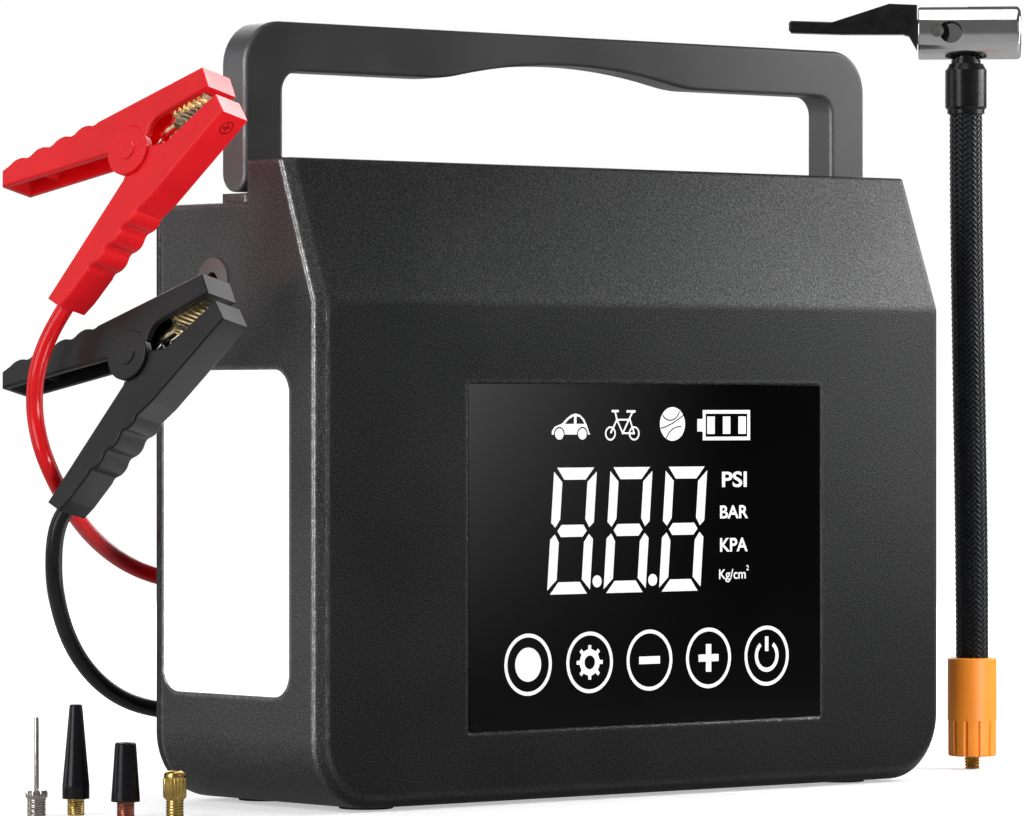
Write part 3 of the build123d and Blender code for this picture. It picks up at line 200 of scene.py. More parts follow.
looks = {
    # The case's edges are lightened eight times: partly wear, partly a painted highlight along the chamfer lines.
    "case_plastic": finish(
        "case_plastic", (0.0045, 0.0045, 0.0048), 0.36, patch=0.10, patch_mm=40.0,
        grain_mm=0.50, grain_depth=0.09, speck=0.3, wear_and_highlight=0.8, wear_and_highlight_mm=2.6, wear_and_highlight_gain=8.0, wear_rough=0.18,
        shine=0.19, wear_shine=1.1, sparkle=0.30, round_mm=1.6,
    ),
    # The handle's edges are lightened five times: partly wear, partly a painted highlight along its side edges.
    "handle_plastic": finish(
        "handle_plastic", (0.020, 0.020, 0.021), 0.36, patch_mm=30.0, grain_mm=0.35, grain_depth=0.006,
        wear_and_highlight=0.5, wear_and_highlight_mm=1.4, wear_and_highlight_gain=5.0, wear_rough=0.16, wear_shine=0.7, round_mm=1.0,
    ),
    "light_diffuser": finish(
        "light_diffuser", (0.95, 0.95, 0.95), 0.35, patch=0.02, grain_mm=1.2, grain_depth=0.01, glow=0.95,
    ),
    "circuit_board": finish(
        "circuit_board", (0.02, 0.16, 0.07), 0.3, patch=0.3, patch_mm=4.0,
        grain_mm=1.0, grain_depth=0.02, speck=0.3,
    ),
    "component_black": finish("component_black", (0.04, 0.04, 0.042), 0.5, wear_and_highlight=0.4, speck=0.05),
    "inner_plastic": finish("inner_plastic", (0.08, 0.08, 0.08), 0.5, wear_and_highlight=0.2, speck=0.05),
    "grey_plastic": finish(
        "grey_plastic", (0.15, 0.15, 0.155), 0.38, grain_mm=0.4, grain_depth=0.01, wear_and_highlight=0.4,
    ),
    "nylon": finish("nylon", (0.82, 0.81, 0.76), 0.45, patch=0.05, wear_and_highlight=0.2, soft=0.3),
    "silicone": finish("silicone", (0.72, 0.72, 0.70), 0.4, patch=0.05, soft=0.4),
    "rubber": finish("rubber", (0.028, 0.028, 0.029), 0.7, speck=0.12, grain_depth=0.015, wear_and_highlight=0.4),
    "cell_foil": finish(
        "cell_foil", (0.62, 0.63, 0.65), 0.34, metal=0.9, patch=0.1, grain_mm=5.0, grain_depth=0.25,
    ),
    "aluminium": finish(
        "aluminium", (0.66, 0.66, 0.68), 0.34, metal=1.0, grain_mm=0.3, stretch=(0.1, 0.1, 1.0),
        wear_and_highlight=0.3, wear_and_highlight_gain=1.4,
    ),
    "copper": turned_marks("copper", (0.50, 0.18, 0.12), 0.30),
    "brass": turned_marks("brass", (0.72, 0.50, 0.16), 0.24),
    "steel": turned_marks("steel", (0.56, 0.55, 0.53), 0.27),
    "nickel": turned_marks("nickel", (0.62, 0.58, 0.52), 0.22),
    "black_steel": finish(
        "black_steel", (0.013, 0.013, 0.014), 0.36, patch=0.3, patch_mm=5.0, grain_mm=0.8,
        grain_depth=0.03, speck=0.06, wear_and_highlight=0.8, wear_and_highlight_gain=6.0,
    ),
    "chrome": finish(
        "chrome", (0.80, 0.80, 0.81), 0.09, metal=1.0, patch=0.06, grain_mm=1.6, grain_depth=0.012,
        stretch=(0.3, 0.3, 1.0), wear_and_highlight=0.2, wear_and_highlight_gain=1.2,
    ),
    "red_plastic": finish(
        "red_plastic", (0.80, 0.010, 0.016), 0.36, patch=0.05, grain_mm=0.5, grain_depth=0.008,
        wear_and_highlight=0.3, wear_and_highlight_gain=1.6,
    ),
    "black_plastic": finish(
        "black_plastic", (0.016, 0.016, 0.017), 0.36, grain_mm=0.5, grain_depth=0.008, speck=0.04, wear_and_highlight=0.5,
    ),
    "red_sheath": finish(
        "red_sheath", (0.72, 0.008, 0.012), 0.22, patch=0.06, grain_mm=1.5, grain_depth=0.01,
    ),
    "black_sheath": finish(
        "black_sheath", (0.011, 0.011, 0.012), 0.26, grain_mm=1.5, grain_depth=0.012, speck=0.03,
    ),
    "black_gloss": finish(
        "black_gloss", (0.009, 0.009, 0.011), 0.22, grain_mm=0.9, grain_depth=0.01, wear_and_highlight=0.6, speck=0.03,
    ),
    "orange_plastic": finish(
        "orange_plastic", (1.0, 0.30, 0.030), 0.42, patch=0.05, grain_mm=0.5, grain_depth=0.01, wear_and_highlight=0.25,
        wear_and_highlight_gain=1.5, soft=0.15,
    ),
    "braid": finish(
        "braid", (0.022, 0.023, 0.026), 0.34, patch=0.2, patch_mm=3.0,
        grain_mm=0.22, grain_depth=0.03, speck=0.10,
    ),
    "clamp_brass": finish(
        "clamp_brass", (0.80, 0.68, 0.46), 0.20, metal=1.0, patch=0.2, patch_mm=2.0,
        grain_mm=0.4, grain_depth=0.01, wear_and_highlight=0.5, wear_and_highlight_gain=1.5,
    ),
    "lit_white": finish(
        "lit_white", (0.80, 0.80, 0.80), 0.4, patch=0.03, patch_mm=3.0, glow=0.80, grain_depth=0.001,
    ),
    "dark_red": finish("dark_red", (0.33, 0.004, 0.008), 0.4, patch=0.05, grain_depth=0.001),
    "seam_black": finish("seam_black", (0.01, 0.01, 0.011), 0.4, grain_depth=0.001),
}


def glass_look():
    """Gloss black glass with a painted reflection that glows faint grey towards its upper left, and faint wipe
    marks.
    """
    material = finish(
        "panel_glass", (0.0010, 0.0010, 0.0012), 0.05, patch=0.3, patch_mm=30.0,
        grain_mm=9.0, grain_depth=0.002,
    )
    tree = material.node_tree
    shader = tree.nodes["Principled BSDF"]
    low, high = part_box("display_glass")
    place = add(tree, "ShaderNodeSeparateXYZ", {0: add(tree, "ShaderNodeTexCoord").outputs["Object"]})
    # Painted reflection: a faint grey glow that grows towards the upper left of the glass.
    reflection_free_side = 35 * MM
    left = remap(tree, place.outputs["X"], high.x - reflection_free_side, low.x, 0.0, 1.0)
    upper = remap(tree, place.outputs["Z"], low.z, high.z, 0.0, 1.0)
    painted_reflection = math(tree, "MULTIPLY", math(tree, "POWER", left, 1.6), math(tree, "POWER", upper, 1.5))
    reflection_glow = mix(tree, painted_reflection, (0.0, 0.0, 0.0, 1.0), (0.055, 0.055, 0.057, 1.0))
    tree.links.new(reflection_glow, shader.inputs["Emission Color"])
    shader.inputs["Emission Strength"].default_value = 1.0
    shader.inputs["Specular IOR Level"].default_value = 0.15
    return material


looks["panel_glass"] = glass_look()


# ================================================================ CAD nodes
def dress_nodes():
    """Give every CAD node the finish of its material slot."""
    for part in frame["record"]["subparts"]:
        is_jaw = part["node"].endswith("_jaw")
        slot_name = "clamp_brass" if is_jaw else part["material_slot"]
        mesh = frame["nodes"][part["node"]].data
        mesh.materials.clear()
        mesh.materials.append(looks[slot_name])


dress_nodes()


# ================================================================ mesh helpers
def new_piece(name, mesh, look, body):
    """Object for a finished mesh, riding on a CAD body."""
    mesh.materials.clear()
    mesh.materials.append(looks[look])
    piece = bpy.data.objects.new(name, mesh)
    bpy.context.scene.collection.objects.link(piece)
    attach(piece, body)
    return piece


def curve_mesh(curve):
    """Mesh of a curve or a text."""
    holder = bpy.data.objects.new("outline", curve)
    mesh = bpy.data.meshes.new_from_object(holder)
    bpy.data.objects.remove(holder)
    return mesh


def plate_mesh(shapes, thickness):
    """Thin flat plates in the XY plane from closed outlines; later outlines of a shape are holes."""
    whole = bmesh.new()
    for outlines in shapes:
        curve = bpy.data.curves.new("outline", "CURVE")
        curve.dimensions = "2D"
        curve.fill_mode = "BOTH"
        curve.extrude = thickness / 2 * MM
        for outline in outlines:
            spline = curve.splines.new("POLY")
            spline.points.add(len(outline) - 1)
            for point, (x, y) in zip(spline.points, outline):
                point.co = (x * MM, y * MM, 0.0, 1.0)
            spline.use_cyclic_u = True
        whole.from_mesh(curve_mesh(curve))
    mesh = bpy.data.meshes.new("plate")
    whole.to_mesh(mesh)
    whole.free()
    return mesh


def ring_points(x, y, radius, start=0.0, end=360.0):
    """Points on a circle or an arc."""
    turn = end - start
    step = 7.5
    count = max(6, int(abs(turn) / step))
    closed = abs(turn) >= 360.0
    steps = count if closed else count + 1
    angles = [radians(start + turn * index / count) for index in range(steps)]
    return [(x + radius * cos(a), y + radius * sin(a)) for a in angles]


def stroke(points, width, round_ends=True):
    """Shapes of a line of constant width through points, with round joints."""
    shapes = []
    for (x0, y0), (x1, y1) in zip(points, points[1:]):
        length = hypot(x1 - x0, y1 - y0)
        side_x = -(y1 - y0) / length * width / 2
        side_y = (x1 - x0) / length * width / 2
        shapes.append([[
            (x0 + side_x, y0 + side_y), (x0 - side_x, y0 - side_y),
            (x1 - side_x, y1 - side_y), (x1 + side_x, y1 + side_y),
        ]])
    joints = points if round_ends else points[1:-1]
    shapes += [[ring_points(x, y, width / 2)] for x, y in joints]
    return shapes


def bar(x0, x1, y0, y1):
    """Rectangle."""
    return [(x0, y0), (x1, y0), (x1, y1), (x0, y1)]


# ================================================================ display
glass_low, glass_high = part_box("display_glass")
print_t = 0.02       # thickness of what is printed on the glass
print_lift = 0.015   # its middle stands this far off the glass
on_glass = Matrix.Translation((0, glass_low.y - print_lift * MM, 0)) @ Matrix.Rotation(radians(90), 4, "X")


def lit(name, shapes, look="lit_white", lift=0.0):
    """Shape that shows on the display glass; x to the right and z up, in millimetres."""
    mesh = plate_mesh(shapes, print_t)
    mesh.transform(Matrix.Translation((0, -lift * MM, 0)) @ on_glass)
    new_piece(name, mesh, look, "pack")


def digit(left, bottom):
    """The seven slanted segments of one digit."""
    width, height, bar_w, slant = 16.8, 37.6, 3.45, 0.077
    middle = height / 2
    cap = [(1.1, height), (width - 1.1, height), (width - 4.2, height - 3.6), (4.2, height - 3.6)]
    post = [
        (0.0, height - 1.2), (bar_w, height - 4.3), (bar_w, middle + 3.4),
        (bar_w / 2, middle + 1.0), (0.0, middle + 2.5),
    ]
    waist = [
        (2.6, middle), (4.1, middle + 1.8), (width - 4.1, middle + 1.8),
        (width - 2.6, middle), (width - 4.1, middle - 1.8), (4.1, middle - 1.8),
    ]
    outlines = [waist]
    for outline in (cap, post):
        upside_down = [(x, height - z) for x, z in outline]
        outlines += [outline, upside_down]
        if outline is post:
            outlines += [[(width - x, z) for x, z in half] for half in (outline, upside_down)]
    return [[[(left + x + slant * z, bottom + z) for x, z in outline]] for outline in outlines]


def text_piece(name, text, x0, x1, z0, z1, weight):
    """Word stretched to fill a box on the glass, in strokes thickened by weight."""
    curve = bpy.data.curves.new(name, "FONT")
    curve.body = text
    curve.offset = weight
    curve.extrude = print_t / 2
    mesh = curve_mesh(curve)
    xs = [v.co.x for v in mesh.vertices]
    ys = [v.co.y for v in mesh.vertices]
    wide = (x1 - x0) * MM / (max(xs) - min(xs))
    tall = (z1 - z0) * MM / (max(ys) - min(ys))
    scale = Matrix.Diagonal((wide, tall, MM, 1.0))
    mesh.transform(scale @ Matrix.Translation((-min(xs), -min(ys), 0)))
    mesh.transform(on_glass @ Matrix.Translation((x0 * MM, z0 * MM, 0)))
    new_piece(name, mesh, "lit_white", "pack")


digit_lefts = (-39.4, -17.2, 5.0)
digit_bottom = 61.6
for index, left in enumerate(digit_lefts):
    lit(f"digit_{index + 1}", digit(left, digit_bottom))

point_xs = (-19.7, 2.5)
point_z, point_r = 65.2, 1.8
for index, x in enumerate(point_xs):
    lit(f"decimal_point_{index + 1}", [[ring_points(x, point_z, point_r)]])

# Units of pressure: left, right, bottom and top of each name.
bold, thin = 0.022, 0.014
text_piece("label_psi", "PSI", 30.7, 40.9, 92.8, 97.6, bold)
text_piece("label_bar", "BAR", 29.9, 41.5, 83.3, 87.3, bold)
text_piece("label_kpa", "KPA", 29.9, 41.3, 73.2, 77.4, bold)
text_piece("label_kgcm", "Kg/cm", 29.5, 40.5, 63.9, 67.9, thin)
text_piece("label_square", "2", 40.7, 41.8, 67.4, 69.0, thin)


def car_icon(x, z):
    """Small car seen from the side."""
    roof = [
        (0.0, 1.5), (0.0, 2.6), (1.2, 3.9), (4.0, 4.8), (5.8, 6.3), (7.6, 7.4),
        (9.3, 7.8), (11.1, 7.4), (12.7, 6.1), (13.8, 4.3), (14.6, 2.4), (15.0, 1.5),
    ]
    front_hub, rear_hub, hub_z = 2.95, 12.0, 1.7
    wheel_r, arch_r = 1.7, 2.1
    rear_arch = ring_points(rear_hub, hub_z, arch_r, -5.0, 185.0)
    front_arch = ring_points(front_hub, hub_z, arch_r, -5.0, 185.0)
    body = roof + rear_arch + front_arch
    front_window = [(5.1, 4.7), (6.7, 6.1), (8.7, 7.0), (8.7, 4.7)]
    rear_window = [(9.7, 4.7), (9.7, 7.0), (11.0, 6.7), (12.1, 5.8), (12.8, 4.7)]
    shapes = [[body, front_window, rear_window]]
    shapes += [[ring_points(hub, hub_z, wheel_r)] for hub in (front_hub, rear_hub)]
    return [[[(x + px, z + pz) for px, pz in outline] for outline in shape] for shape in shapes]


def bicycle_icon(x, z):
    """Bicycle: two wheels and a line frame."""
    left_hub, right_hub = (x + 2.0, z + 2.0), (x + 11.5, z + 2.0)
    pedals, head, seat = (x + 6.9, z + 2.1), (x + 4.6, z + 6.1), (x + 9.8, z + 6.1)
    shapes = [[ring_points(*hub, 2.15), ring_points(*hub, 1.6)] for hub in (left_hub, right_hub)]
    shapes += stroke([(x + 2.2, z + 2.3), head, (x + 3.9, z + 8.4)], 0.6)
    shapes += stroke([(x + 2.8, z + 8.7), (x + 5.0, z + 8.7)], 0.7)
    shapes += stroke([head, seat, right_hub, pedals, head], 0.55)
    shapes += stroke([pedals, (x + 10.8, z + 8.4)], 0.6)
    shapes += stroke([(x + 8.7, z + 8.6), (x + 11.7, z + 8.6)], 0.7)
    return shapes


def battery_icon(x0, x1, z0, z1):
    """Battery on its side with three bars and its pole at the left."""
    left = x0 + 2.2
    first, step, half = x0 + 5.6, 6.4, 1.55
    shapes = [[bar(left, x1, z0, z1), bar(left + 1.2, x1 - 1.2, z0 + 1.1, z1 - 1.1)]]
    shapes.append([bar(x0, left + 0.2, z0 + 2.7, z1 - 2.7)])
    for centre in (first, first + step, first + 2 * step):
        shapes.append([bar(centre - half, centre + half, z0 + 1.95, z1 - 1.95)])
    return shapes


lit("icon_car", car_icon(-37.5, 107.5))
lit("icon_bicycle", bicycle_icon(-16.4, 107.3))
lit("icon_battery", battery_icon(20.6, 42.3, 107.1, 116.3))

ball_x, ball_z, ball_r = 10.5, 112.1, 5.1
seam_w = 0.34
lit("icon_ball", [[ring_points(ball_x, ball_z, ball_r)]])


def ball_seams():
    """The three curved seams that cross the ball."""
    top = ring_points(ball_x - 0.9, ball_z + 5.0, 3.9, 200.0, 358.0)
    middle = [(-4.8, -1.3), (-2.6, -0.8), (0.2, 0.3), (2.7, 1.6), (4.4, 2.6)]
    middle = [(ball_x + x, ball_z + z) for x, z in middle]
    low = ring_points(ball_x + 3.0, ball_z - 6.9, 6.1, 85.0, 163.0)
    shapes = []
    for line in (top, middle, low):
        inside = [(x, z) for x, z in line if hypot(x - ball_x, z - ball_z) < ball_r + 0.1]
        shapes += stroke(inside, seam_w, round_ends=False)
    return shapes


lit("icon_ball_seams", ball_seams(), look="seam_black", lift=0.02)

touch_z = 41.1
touch_xs = (-46.7, -22.6, 1.25, 25.2, 49.2)
touch_out_r, touch_in_r, spot_r = 9.2, 8.05, 5.05
light_x, gear_x, minus_x, plus_x, power_x = touch_xs
for index, x in enumerate(touch_xs):
    ring = [ring_points(x, touch_z, touch_out_r), ring_points(x, touch_z, touch_in_r)]
    lit(f"touch_ring_{index + 1}", [ring])
lit("touch_light", [[ring_points(light_x, touch_z, spot_r)]])


def gear_icon(x, z):
    """Gear with eight teeth and a hole."""
    rim_r, hole_r = 3.95, 2.05
    teeth = 8
    root_r, root_half = 3.7, 0.62
    tip_r, tip_half = 5.15, 0.58
    shapes = [[ring_points(x, z, rim_r), ring_points(x, z, hole_r)]]
    for index in range(teeth):
        turn = 2 * pi * index / teeth
        out = Vector((cos(turn), sin(turn)))
        side = Vector((-sin(turn), cos(turn)))
        corners = [
            out * root_r - side * root_half, out * tip_r - side * tip_half,
            out * tip_r + side * tip_half, out * root_r + side * root_half,
        ]
        shapes.append([[(x + c.x, z + c.y) for c in corners]])
    return shapes


def power_icon(x, z):
    """Open ring with a bar in its gap."""
    outer = ring_points(x, z, 4.95, 126.0, 414.0)
    inner = ring_points(x, z, 3.65, 414.0, 126.0)
    return [[outer + inner], [bar(x - 0.72, x + 0.72, z + 1.4, z + 5.9)]]


def plus_icon(x, z):
    """Plus: one bar across, with a short one above and below it."""
    half, arm_half, reach = 1.1, 4.1, 4.2
    shapes = [[bar(x - arm_half, x + arm_half, z - half, z + half)]]
    for low, high in ((-reach, -half), (half, reach)):
        shapes.append([bar(x - half, x + half, z + low, z + high)])
    return shapes


lit("touch_gear", gear_icon(gear_x, touch_z))
lit("touch_minus", [[bar(minus_x - 4.2, minus_x + 4.2, touch_z - 1.15, touch_z + 1.15)]])
lit("touch_plus", plus_icon(plus_x, touch_z))
lit("touch_power", power_icon(power_x, touch_z))


# ================================================================ clamp mark
def polarity_mark():
    """Plus in a ring, moulded on the outer edge of the red clamp's lower lever."""
    hinge = next(joint for joint in frame["joints"] if joint["name"] == "red_jaw_open")
    axis = Vector(hinge["axis"])
    along = Vector((0.1655, -0.9862, 0.0)).normalized()
    up = axis.cross(along)
    edge_cos, edge_sin = 0.684, 0.729
    outward = along * edge_sin - up * edge_cos
    to_tip = along * edge_cos + up * edge_sin
    from_pin = outward * 17.93 + to_tip * 27.0 - axis * 0.3
    centre = Vector(hinge["pos_m"]) + from_pin * MM
    across = outward.cross(to_tip)
    out_r, in_r, line_w = 2.3, 1.98, 0.36
    shapes = [[ring_points(0, 0, out_r), ring_points(0, 0, in_r)]]
    shapes += stroke([(-1.3, -0.4), (1.3, 0.4)], line_w)
    shapes += stroke([(0.4, -1.3), (-0.4, 1.3)], line_w)
    mesh = plate_mesh(shapes, 0.1)
    turn = Matrix((to_tip, across, outward)).transposed().to_4x4()
    mesh.transform(Matrix.Translation(centre) @ turn)
    new_piece("red_polarity_mark", mesh, "dark_red", "pack")


polarity_mark()


# ================================================================ turned metal pieces
SHARP = radians(38)   # edges that bend more than this stay crisp
BORE_R = 2.0          # cuts leave everything inside this radius alone


def centre_mm(node):
    """Middle of a node seen from above, in millimetres."""
    low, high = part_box(node)
    return ((low.x + high.x) / 2 / MM, (low.y + high.y) / 2 / MM)


def fine_section(loop, bands):
    """Half section with extra points where a thread cuts it."""
    step_z = 0.09
    section = []
    for (r0, z0), (r1, z1) in zip(loop, loop[1:] + loop[:1]):
        fine = any(
            kind == "thread" and min(z0, z1) < top and max(z0, z1) > low and min(r0, r1) > BORE_R
            for kind, low, top, size, depth in bands
        )
        steps = max(1, int(abs(z1 - z0) / step_z)) if fine else 1
        for step in range(steps):
            share = step / steps
            section.append((r0 + (r1 - r0) * share, z0 + (z1 - z0) * share))
    return section


def cut_radius(radius, z, share_round, bands):
    """Radius left by the threads and ribs at height z, share_round of the way round."""
    left = radius
    for kind, low, top, size, depth in bands:
        if not (low <= z <= top) or radius < BORE_R:
            continue
        if kind == "thread":
            run_out = 0.4 * size
            fade = min(1.0, (z - low) / run_out, (top - z) / run_out)
            phase = (z / size - share_round) % 1.0
            left -= depth * fade * (1.0 - abs(2.0 * phase - 1.0))
        else:
            left -= depth * (0.5 - 0.5 * cos(size * 2 * pi * share_round)) ** 2
    return left


def lathe(name, loop, bands, look, body, node, sides=72):
    """Turned piece that stands in for a CAD node, on that node's own axis.

    loop is the closed half section as (radius, z). Each band is (kind, z0, z1, size, depth):
    "thread" cuts a helix of pitch size, "ribs" cuts size straight grooves.
    """
    centre_x, centre_y = centre_mm(node)
    section = fine_section(loop, bands)
    points = []
    for radius, z in section:
        for index in range(sides):
            turn = 2 * pi * index / sides
            r = cut_radius(radius, z, index / sides, bands)
            points.append(((centre_x + r * cos(turn)) * MM, (centre_y + r * sin(turn)) * MM, z * MM))
    faces = []
    rows = len(section)
    for row in range(rows):
        below, above = row * sides, ((row + 1) % rows) * sides
        for index in range(sides):
            after = (index + 1) % sides
            faces.append((below + index, below + after, above + after, above + index))
    mesh = bpy.data.meshes.new(name)
    mesh.from_pydata(points, [], faces)
    mesh.shade_smooth()
    mesh.set_sharp_from_angle(angle=SHARP)
    piece = new_piece(name, mesh, look, body)
    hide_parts(node)


stud_bottom = [(1.1, 0.0), (2.2, 0.0), (2.6, 0.45), (2.6, 4.2), (2.3, 4.25), (2.3, 6.2)]
stud_inside = [(4.6, 6.22), (4.6, 11.2), (2.45, 11.25), (2.45, 22.7), (1.1, 22.7)]
stud_bands = [("thread", 0.1, 4.2, 0.95, 0.5)]
lathe("stud_thread", stud_bottom + stud_inside, stud_bands, "brass", "swivel", "coupling_stud")

needle_foot = [
    (0.35, 0.0), (2.5, 0.0), (2.75, 0.35), (2.75, 5.1),
    (3.15, 5.5), (3.2, 6.7), (2.9, 7.4), (1.0, 7.5),
]
needle_tube = [(0.66, 7.8), (0.66, 28.1), (0.6, 28.3), (0.35, 28.3)]
needle_bands = [("thread", 0.3, 5.1, 0.68, 0.22), ("ribs", 5.3, 7.45, 22, 0.32)]
lathe("needle_thread", needle_foot + needle_tube, needle_bands, "nickel", "needle", "ball_needle", sides=132)

long_foot = [(1.2, 0.0), (2.3, 0.0), (2.55, 0.4), (2.55, 4.7), (1.9, 4.75), (1.9, 9.8), (1.2, 9.8)]
long_bands = [("thread", 0.3, 4.7, 0.66, 0.22)]
lathe("long_nozzle_thread", long_foot, long_bands, "brass", "long_nozzle", "long_cone_thread")

short_foot = [(1.3, 0.0), (2.35, 0.0), (2.6, 0.4), (2.6, 4.2), (2.0, 4.25), (2.0, 8.8), (1.3, 8.8)]
short_bands = [("thread", 0.3, 4.2, 0.66, 0.22)]
lathe("short_nozzle_thread", short_foot, short_bands, "copper", "short_nozzle", "short_cone_thread")

adapter_foot = [(1.6, 0.0), (2.4, 0.0), (2.6, 0.3), (2.6, 5.1), (2.9, 5.3), (3.35, 5.9)]
adapter_head = [
    (3.4, 11.0), (3.15, 11.2), (3.15, 12.0), (2.95, 12.7), (2.45, 13.15), (2.1, 13.25), (1.9, 13.1),
]
adapter_bore = [(1.9, 6.0), (1.6, 6.0)]
adapter_loop = adapter_foot + adapter_head + adapter_bore
adapter_bands = [("thread", 0.3, 5.1, 0.8, 0.22), ("ribs", 5.6, 11.05, 20, 0.4)]
lathe("adapter_body", adapter_loop, adapter_bands, "brass", "adapter", "valve_adapter", sides=144)


# ================================================================ braided hose
hose_low, hose_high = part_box("hose")
sleeve_low, sleeve_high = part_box("hose_sleeve")
nut_low, nut_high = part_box("coupling_nut")
hose_foot = Vector(((nut_low.x + nut_high.x) / 2, (nut_low.y + nut_high.y) / 2, nut_high.z))
hose_head = Vector(((sleeve_low.x + sleeve_high.x) / 2, (sleeve_low.y + sleeve_high.y) / 2, sleeve_low.z))


def hose_centre(z):
    """Middle of the hose at height z; it leans a little between nut and sleeve."""
    share = min(1.0, max(0.0, (z - hose_foot.z) / (hose_head.z - hose_foot.z)))
    share = share * share * (3 - 2 * share)
    return hose_foot.lerp(hose_head, share).xy


def braid_piece():
    """Sixteen flat strands each way round the hose, each passing over two and under two."""
    strands, pitch = 16, 28.0 * MM
    middle_r, wave, half_width, half_thick = 4.92 * MM, 0.20 * MM, 0.60 * MM, 0.22 * MM
    tuck_low, tuck_high = 1.0 * MM, 0.8 * MM
    start, end = hose_foot.z - tuck_low, hose_head.z + tuck_high
    steps = 330
    section = [(-1.0, 0.0), (-0.55, 0.75), (0.0, 1.0), (0.55, 0.75), (1.0, 0.0), (0.0, -0.6)]
    points, faces = [], []
    for hand in (1, -1):
        for strand in range(strands):
            first = len(points)
            for step in range(steps + 1):
                z = start + (end - start) * step / steps
                crossing = 2 * strands * (z - start) / pitch
                turn = hand * 2 * pi * (z - start) / pitch + 2 * pi * strand / strands
                if hand > 0:
                    lift = cos(pi * (crossing - 0.5) / 2 + pi * strand)
                else:
                    lift = -cos(pi * strand - pi * (crossing + 0.5) / 2)
                radius = middle_r + wave * lift
                slope = 2 * pi * radius / pitch
                length = hypot(1.0, slope)
                out = Vector((cos(turn), sin(turn), 0.0))
                round_way = Vector((-sin(turn), cos(turn), 0.0))
                across = (round_way - Vector((0, 0, 1)) * hand * slope) / length
                middle = Vector((*hose_centre(z), z))
                for along, up in section:
                    points.append(middle + out * (radius + up * half_thick) + across * (along * half_width))
            count = len(section)
            for step in range(steps):
                low = first + step * count
                for index in range(count):
                    after = (index + 1) % count
                    faces.append((low + index, low + after, low + count + after, low + count + index))
    mesh = bpy.data.meshes.new("hose_braid")
    mesh.from_pydata(points, [], faces)
    mesh.shade_smooth()
    new_piece("hose_braid", mesh, "braid", "air_hose")


def hose_core():
    """Rubber core under the braid."""
    radius, bore, sides, steps = 4.75 * MM, 2.5 * MM, 40, 60
    start, end = hose_low.z, hose_high.z
    points, faces = [], []
    for step in range(steps + 1):
        z = start + (end - start) * step / steps
        middle = hose_centre(z)
        for r in (radius, bore):
            for index in range(sides):
                turn = 2 * pi * index / sides
                points.append((middle.x + r * cos(turn), middle.y + r * sin(turn), z))
    row = 2 * sides
    for index in range(sides):
        after = (index + 1) % sides
        for step in range(steps):
            low, high = step * row, (step + 1) * row
            low_in, high_in = low + sides, high + sides
            faces.append((low + index, low + after, high + after, high + index))
            faces.append((low_in + after, low_in + index, high_in + index, high_in + after))
        last = steps * row
        faces.append((after, index, sides + index, sides + after))
        faces.append((last + index, last + after, last + sides + after, last + sides + index))
    mesh = bpy.data.meshes.new("hose_core")
    mesh.from_pydata(points, [], faces)
    mesh.shade_smooth()
    mesh.set_sharp_from_angle(angle=SHARP)
    core = new_piece("hose_core", mesh, "rubber", "air_hose")
    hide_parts("hose")


braid_piece()
hose_core()


# ================================================================ stage, light, camera
def stage_floor():
    """Pale flat floor, brighter with distance until it meets the white surround."""
    mesh = bpy.data.meshes.new("floor")
    reach = 9.0
    near, far = 0.25, 0.90
    corners = [(-reach, -reach, 0), (reach, -reach, 0), (reach, reach, 0), (-reach, reach, 0)]
    mesh.from_pydata(corners, [], [(0, 1, 2, 3)])
    floor = bpy.data.objects.new("floor", mesh)
    bpy.context.scene.collection.objects.link(floor)
    material = bpy.data.materials.new("floor")
    material.use_nodes = True
    tree = material.node_tree
    shader = tree.nodes["Principled BSDF"]
    place = add(tree, "ShaderNodeTexCoord").outputs["Object"]
    distance = add(tree, "ShaderNodeVectorMath", {0: place}, operation="LENGTH").outputs["Value"]
    spread = remap(tree, distance, near, far, 0.45, 1.0)
    seen = add(tree, "ShaderNodeLightPath").outputs["Is Camera Ray"]
    tone = mix(tree, noise(tree, 60.0), (0.80, 0.80, 0.80, 1.0), (0.84, 0.84, 0.84, 1.0))
    tree.links.new(mix(tree, seen, (0.30, 0.30, 0.30, 1.0), tone), shader.inputs["Base Color"])
    shader.inputs["Roughness"].default_value = 0.9
    shader.inputs["Specular IOR Level"].default_value = 0.1
    shader.inputs["Emission Color"].default_value = (1.0, 1.0, 1.0, 1.0)
    least_glow = 0.10
    glow = math(tree, "MAXIMUM", math(tree, "MULTIPLY", spread, seen), least_glow)
    tree.links.new(glow, shader.inputs["Emission Strength"])
    mesh.materials.append(material)


def softbox(name, direction, distance, width, height, radiance, aim=(0.0, 0.0, 0.11), only=(), shaded=True):
    """Square light that faces the pack; radiance is its brightness as seen in a mirror.

    With only given, it falls on those nodes alone; unshaded light passes through what is in its way.
    """
    data = bpy.data.lights.new(name, "AREA")
    data.shape = "RECTANGLE"
    data.size = width
    data.size_y = height
    data.energy = radiance * pi * width * height
    lamp = bpy.data.objects.new(name, data)
    bpy.context.scene.collection.objects.link(lamp)
    way = Vector(direction).normalized()
    lamp.location = Vector(aim) + way * distance
    lamp.rotation_mode = "QUATERNION"
    lamp.rotation_quaternion = way.to_track_quat("Z", "Y")
    if only:
        group = bpy.data.collections.new(name)
        for node in only:
            group.objects.link(frame["nodes"][node])
        lamp.light_linking.receiver_collection = group
    data.use_shadow = shaded


def world_light():
    """White seen directly, and a dim grey surround for everything else."""
    world = bpy.data.worlds.new("studio")
    bpy.context.scene.world = world
    world.use_nodes = True
    tree = world.node_tree
    background = tree.nodes["Background"]
    seen = add(tree, "ShaderNodeLightPath").outputs["Is Camera Ray"]
    tone = mix(tree, seen, (0.12, 0.12, 0.12, 1.0), (1.0, 1.0, 1.0, 1.0))
    tree.links.new(tone, background.inputs["Color"])


stage_floor()
world_light()

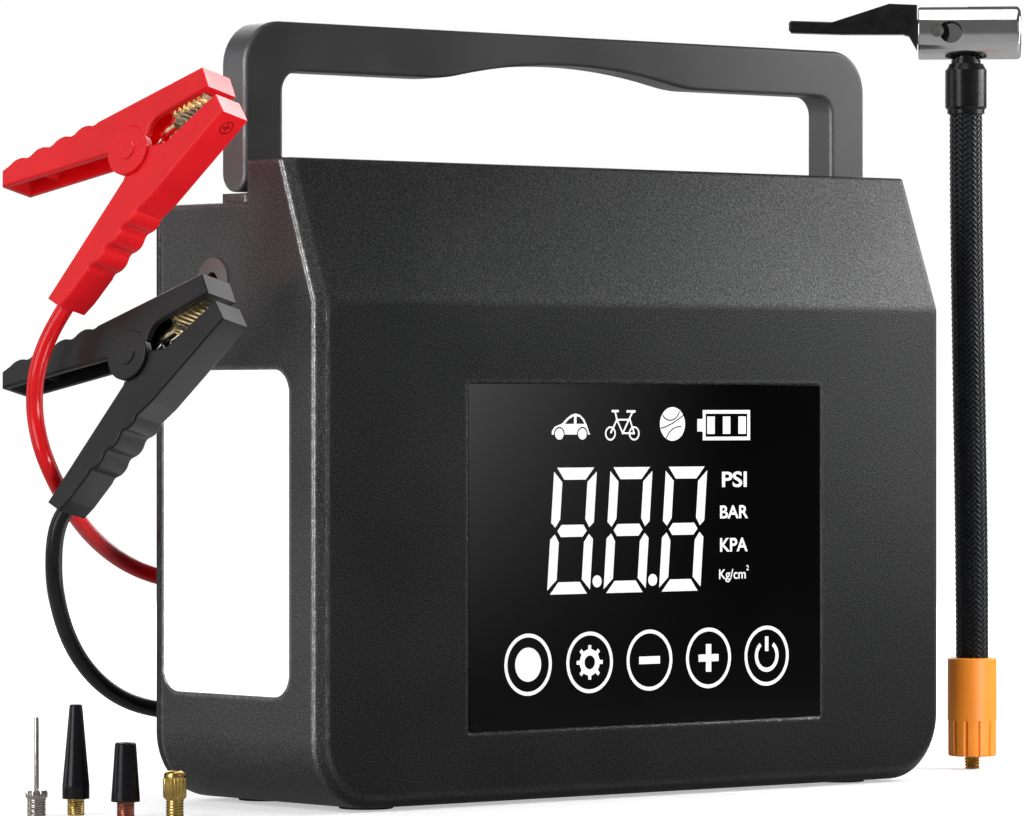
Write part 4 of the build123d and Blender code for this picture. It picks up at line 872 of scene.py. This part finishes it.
# The broad boxes light everything. The boxes with a list of nodes only pick those nodes out.
shells = ("front_shell", "handle_bar")
bright = ("red_lower_lever", "red_upper_lever", "coupling_nut", "outlet_ring", "red_cable")
levers = ("red_lower_lever", "red_upper_lever", "black_lower_lever", "black_upper_lever")
clamp_at = (-0.14, -0.01, 0.17)
softbox("left_soft", (-0.95, -0.05, 0.34), 1.2, 0.6, 0.9, 4.6)
softbox("front_soft", (0.20, -0.90, 0.40), 1.2, 0.6, 0.7, 0.4)
softbox("brow_light", (0.82, -0.46, 0.40), 0.42, 0.20, 0.20, 13.0, aim=(0.15, -0.03, 0.17))
softbox("edge_light", (0.72, -0.69, 0.10), 0.27, 0.05, 0.22, 7.0, aim=(0.135, -0.04, 0.14))
softbox("top", (0.05, -0.10, 1.0), 1.1, 1.0, 0.5, 1.8)
softbox("rear_left", (-0.68, 0.72, 0.12), 1.2, 0.5, 0.9, 1.3)
softbox("back_high", (0.40, 0.95, 0.50), 1.6, 1.2, 1.0, 2.6)
softbox("back_right", (0.85, 0.70, 0.35), 1.6, 1.2, 1.0, 1.6)
softbox("left_rim", (-0.996, 0.067, 0.05), 1.2, 0.40, 1.1, 32.0, only=shells, shaded=False)
softbox("front_rim", (-0.074, -0.98, 0.04), 1.3, 0.06, 1.2, 34.0, only=shells, shaded=False)
softbox("fill", (0.10, -0.96, -0.10), 0.9, 0.5, 0.2, 24.0, aim=(0.0, -0.01, 0.17), only=bright)
softbox("jaw_ends", (0.86, 0.18, 0.48), 0.9, 0.4, 0.4, 13.0, aim=clamp_at, only=levers, shaded=False)

# The camera stands about 1.8 m off, low and to the left of the front, and looks level.
camera_at = (-1.1539, -1.3408, 0.1171)
camera_tilt, camera_turn = 89.994, -40.25
lens_mm = 203.27

camera_data = bpy.data.cameras.new("camera")
camera_data.lens = lens_mm
camera_data.sensor_width = 36.0
camera_data.clip_start = 0.05
camera_data.clip_end = 60.0
camera = bpy.data.objects.new("camera", camera_data)
bpy.context.scene.collection.objects.link(camera)
camera.location = camera_at
camera.rotation_euler = (radians(camera_tilt), 0.0, radians(camera_turn))
bpy.context.scene.camera = camera
bpy.context.scene.view_settings.view_transform = "Standard"
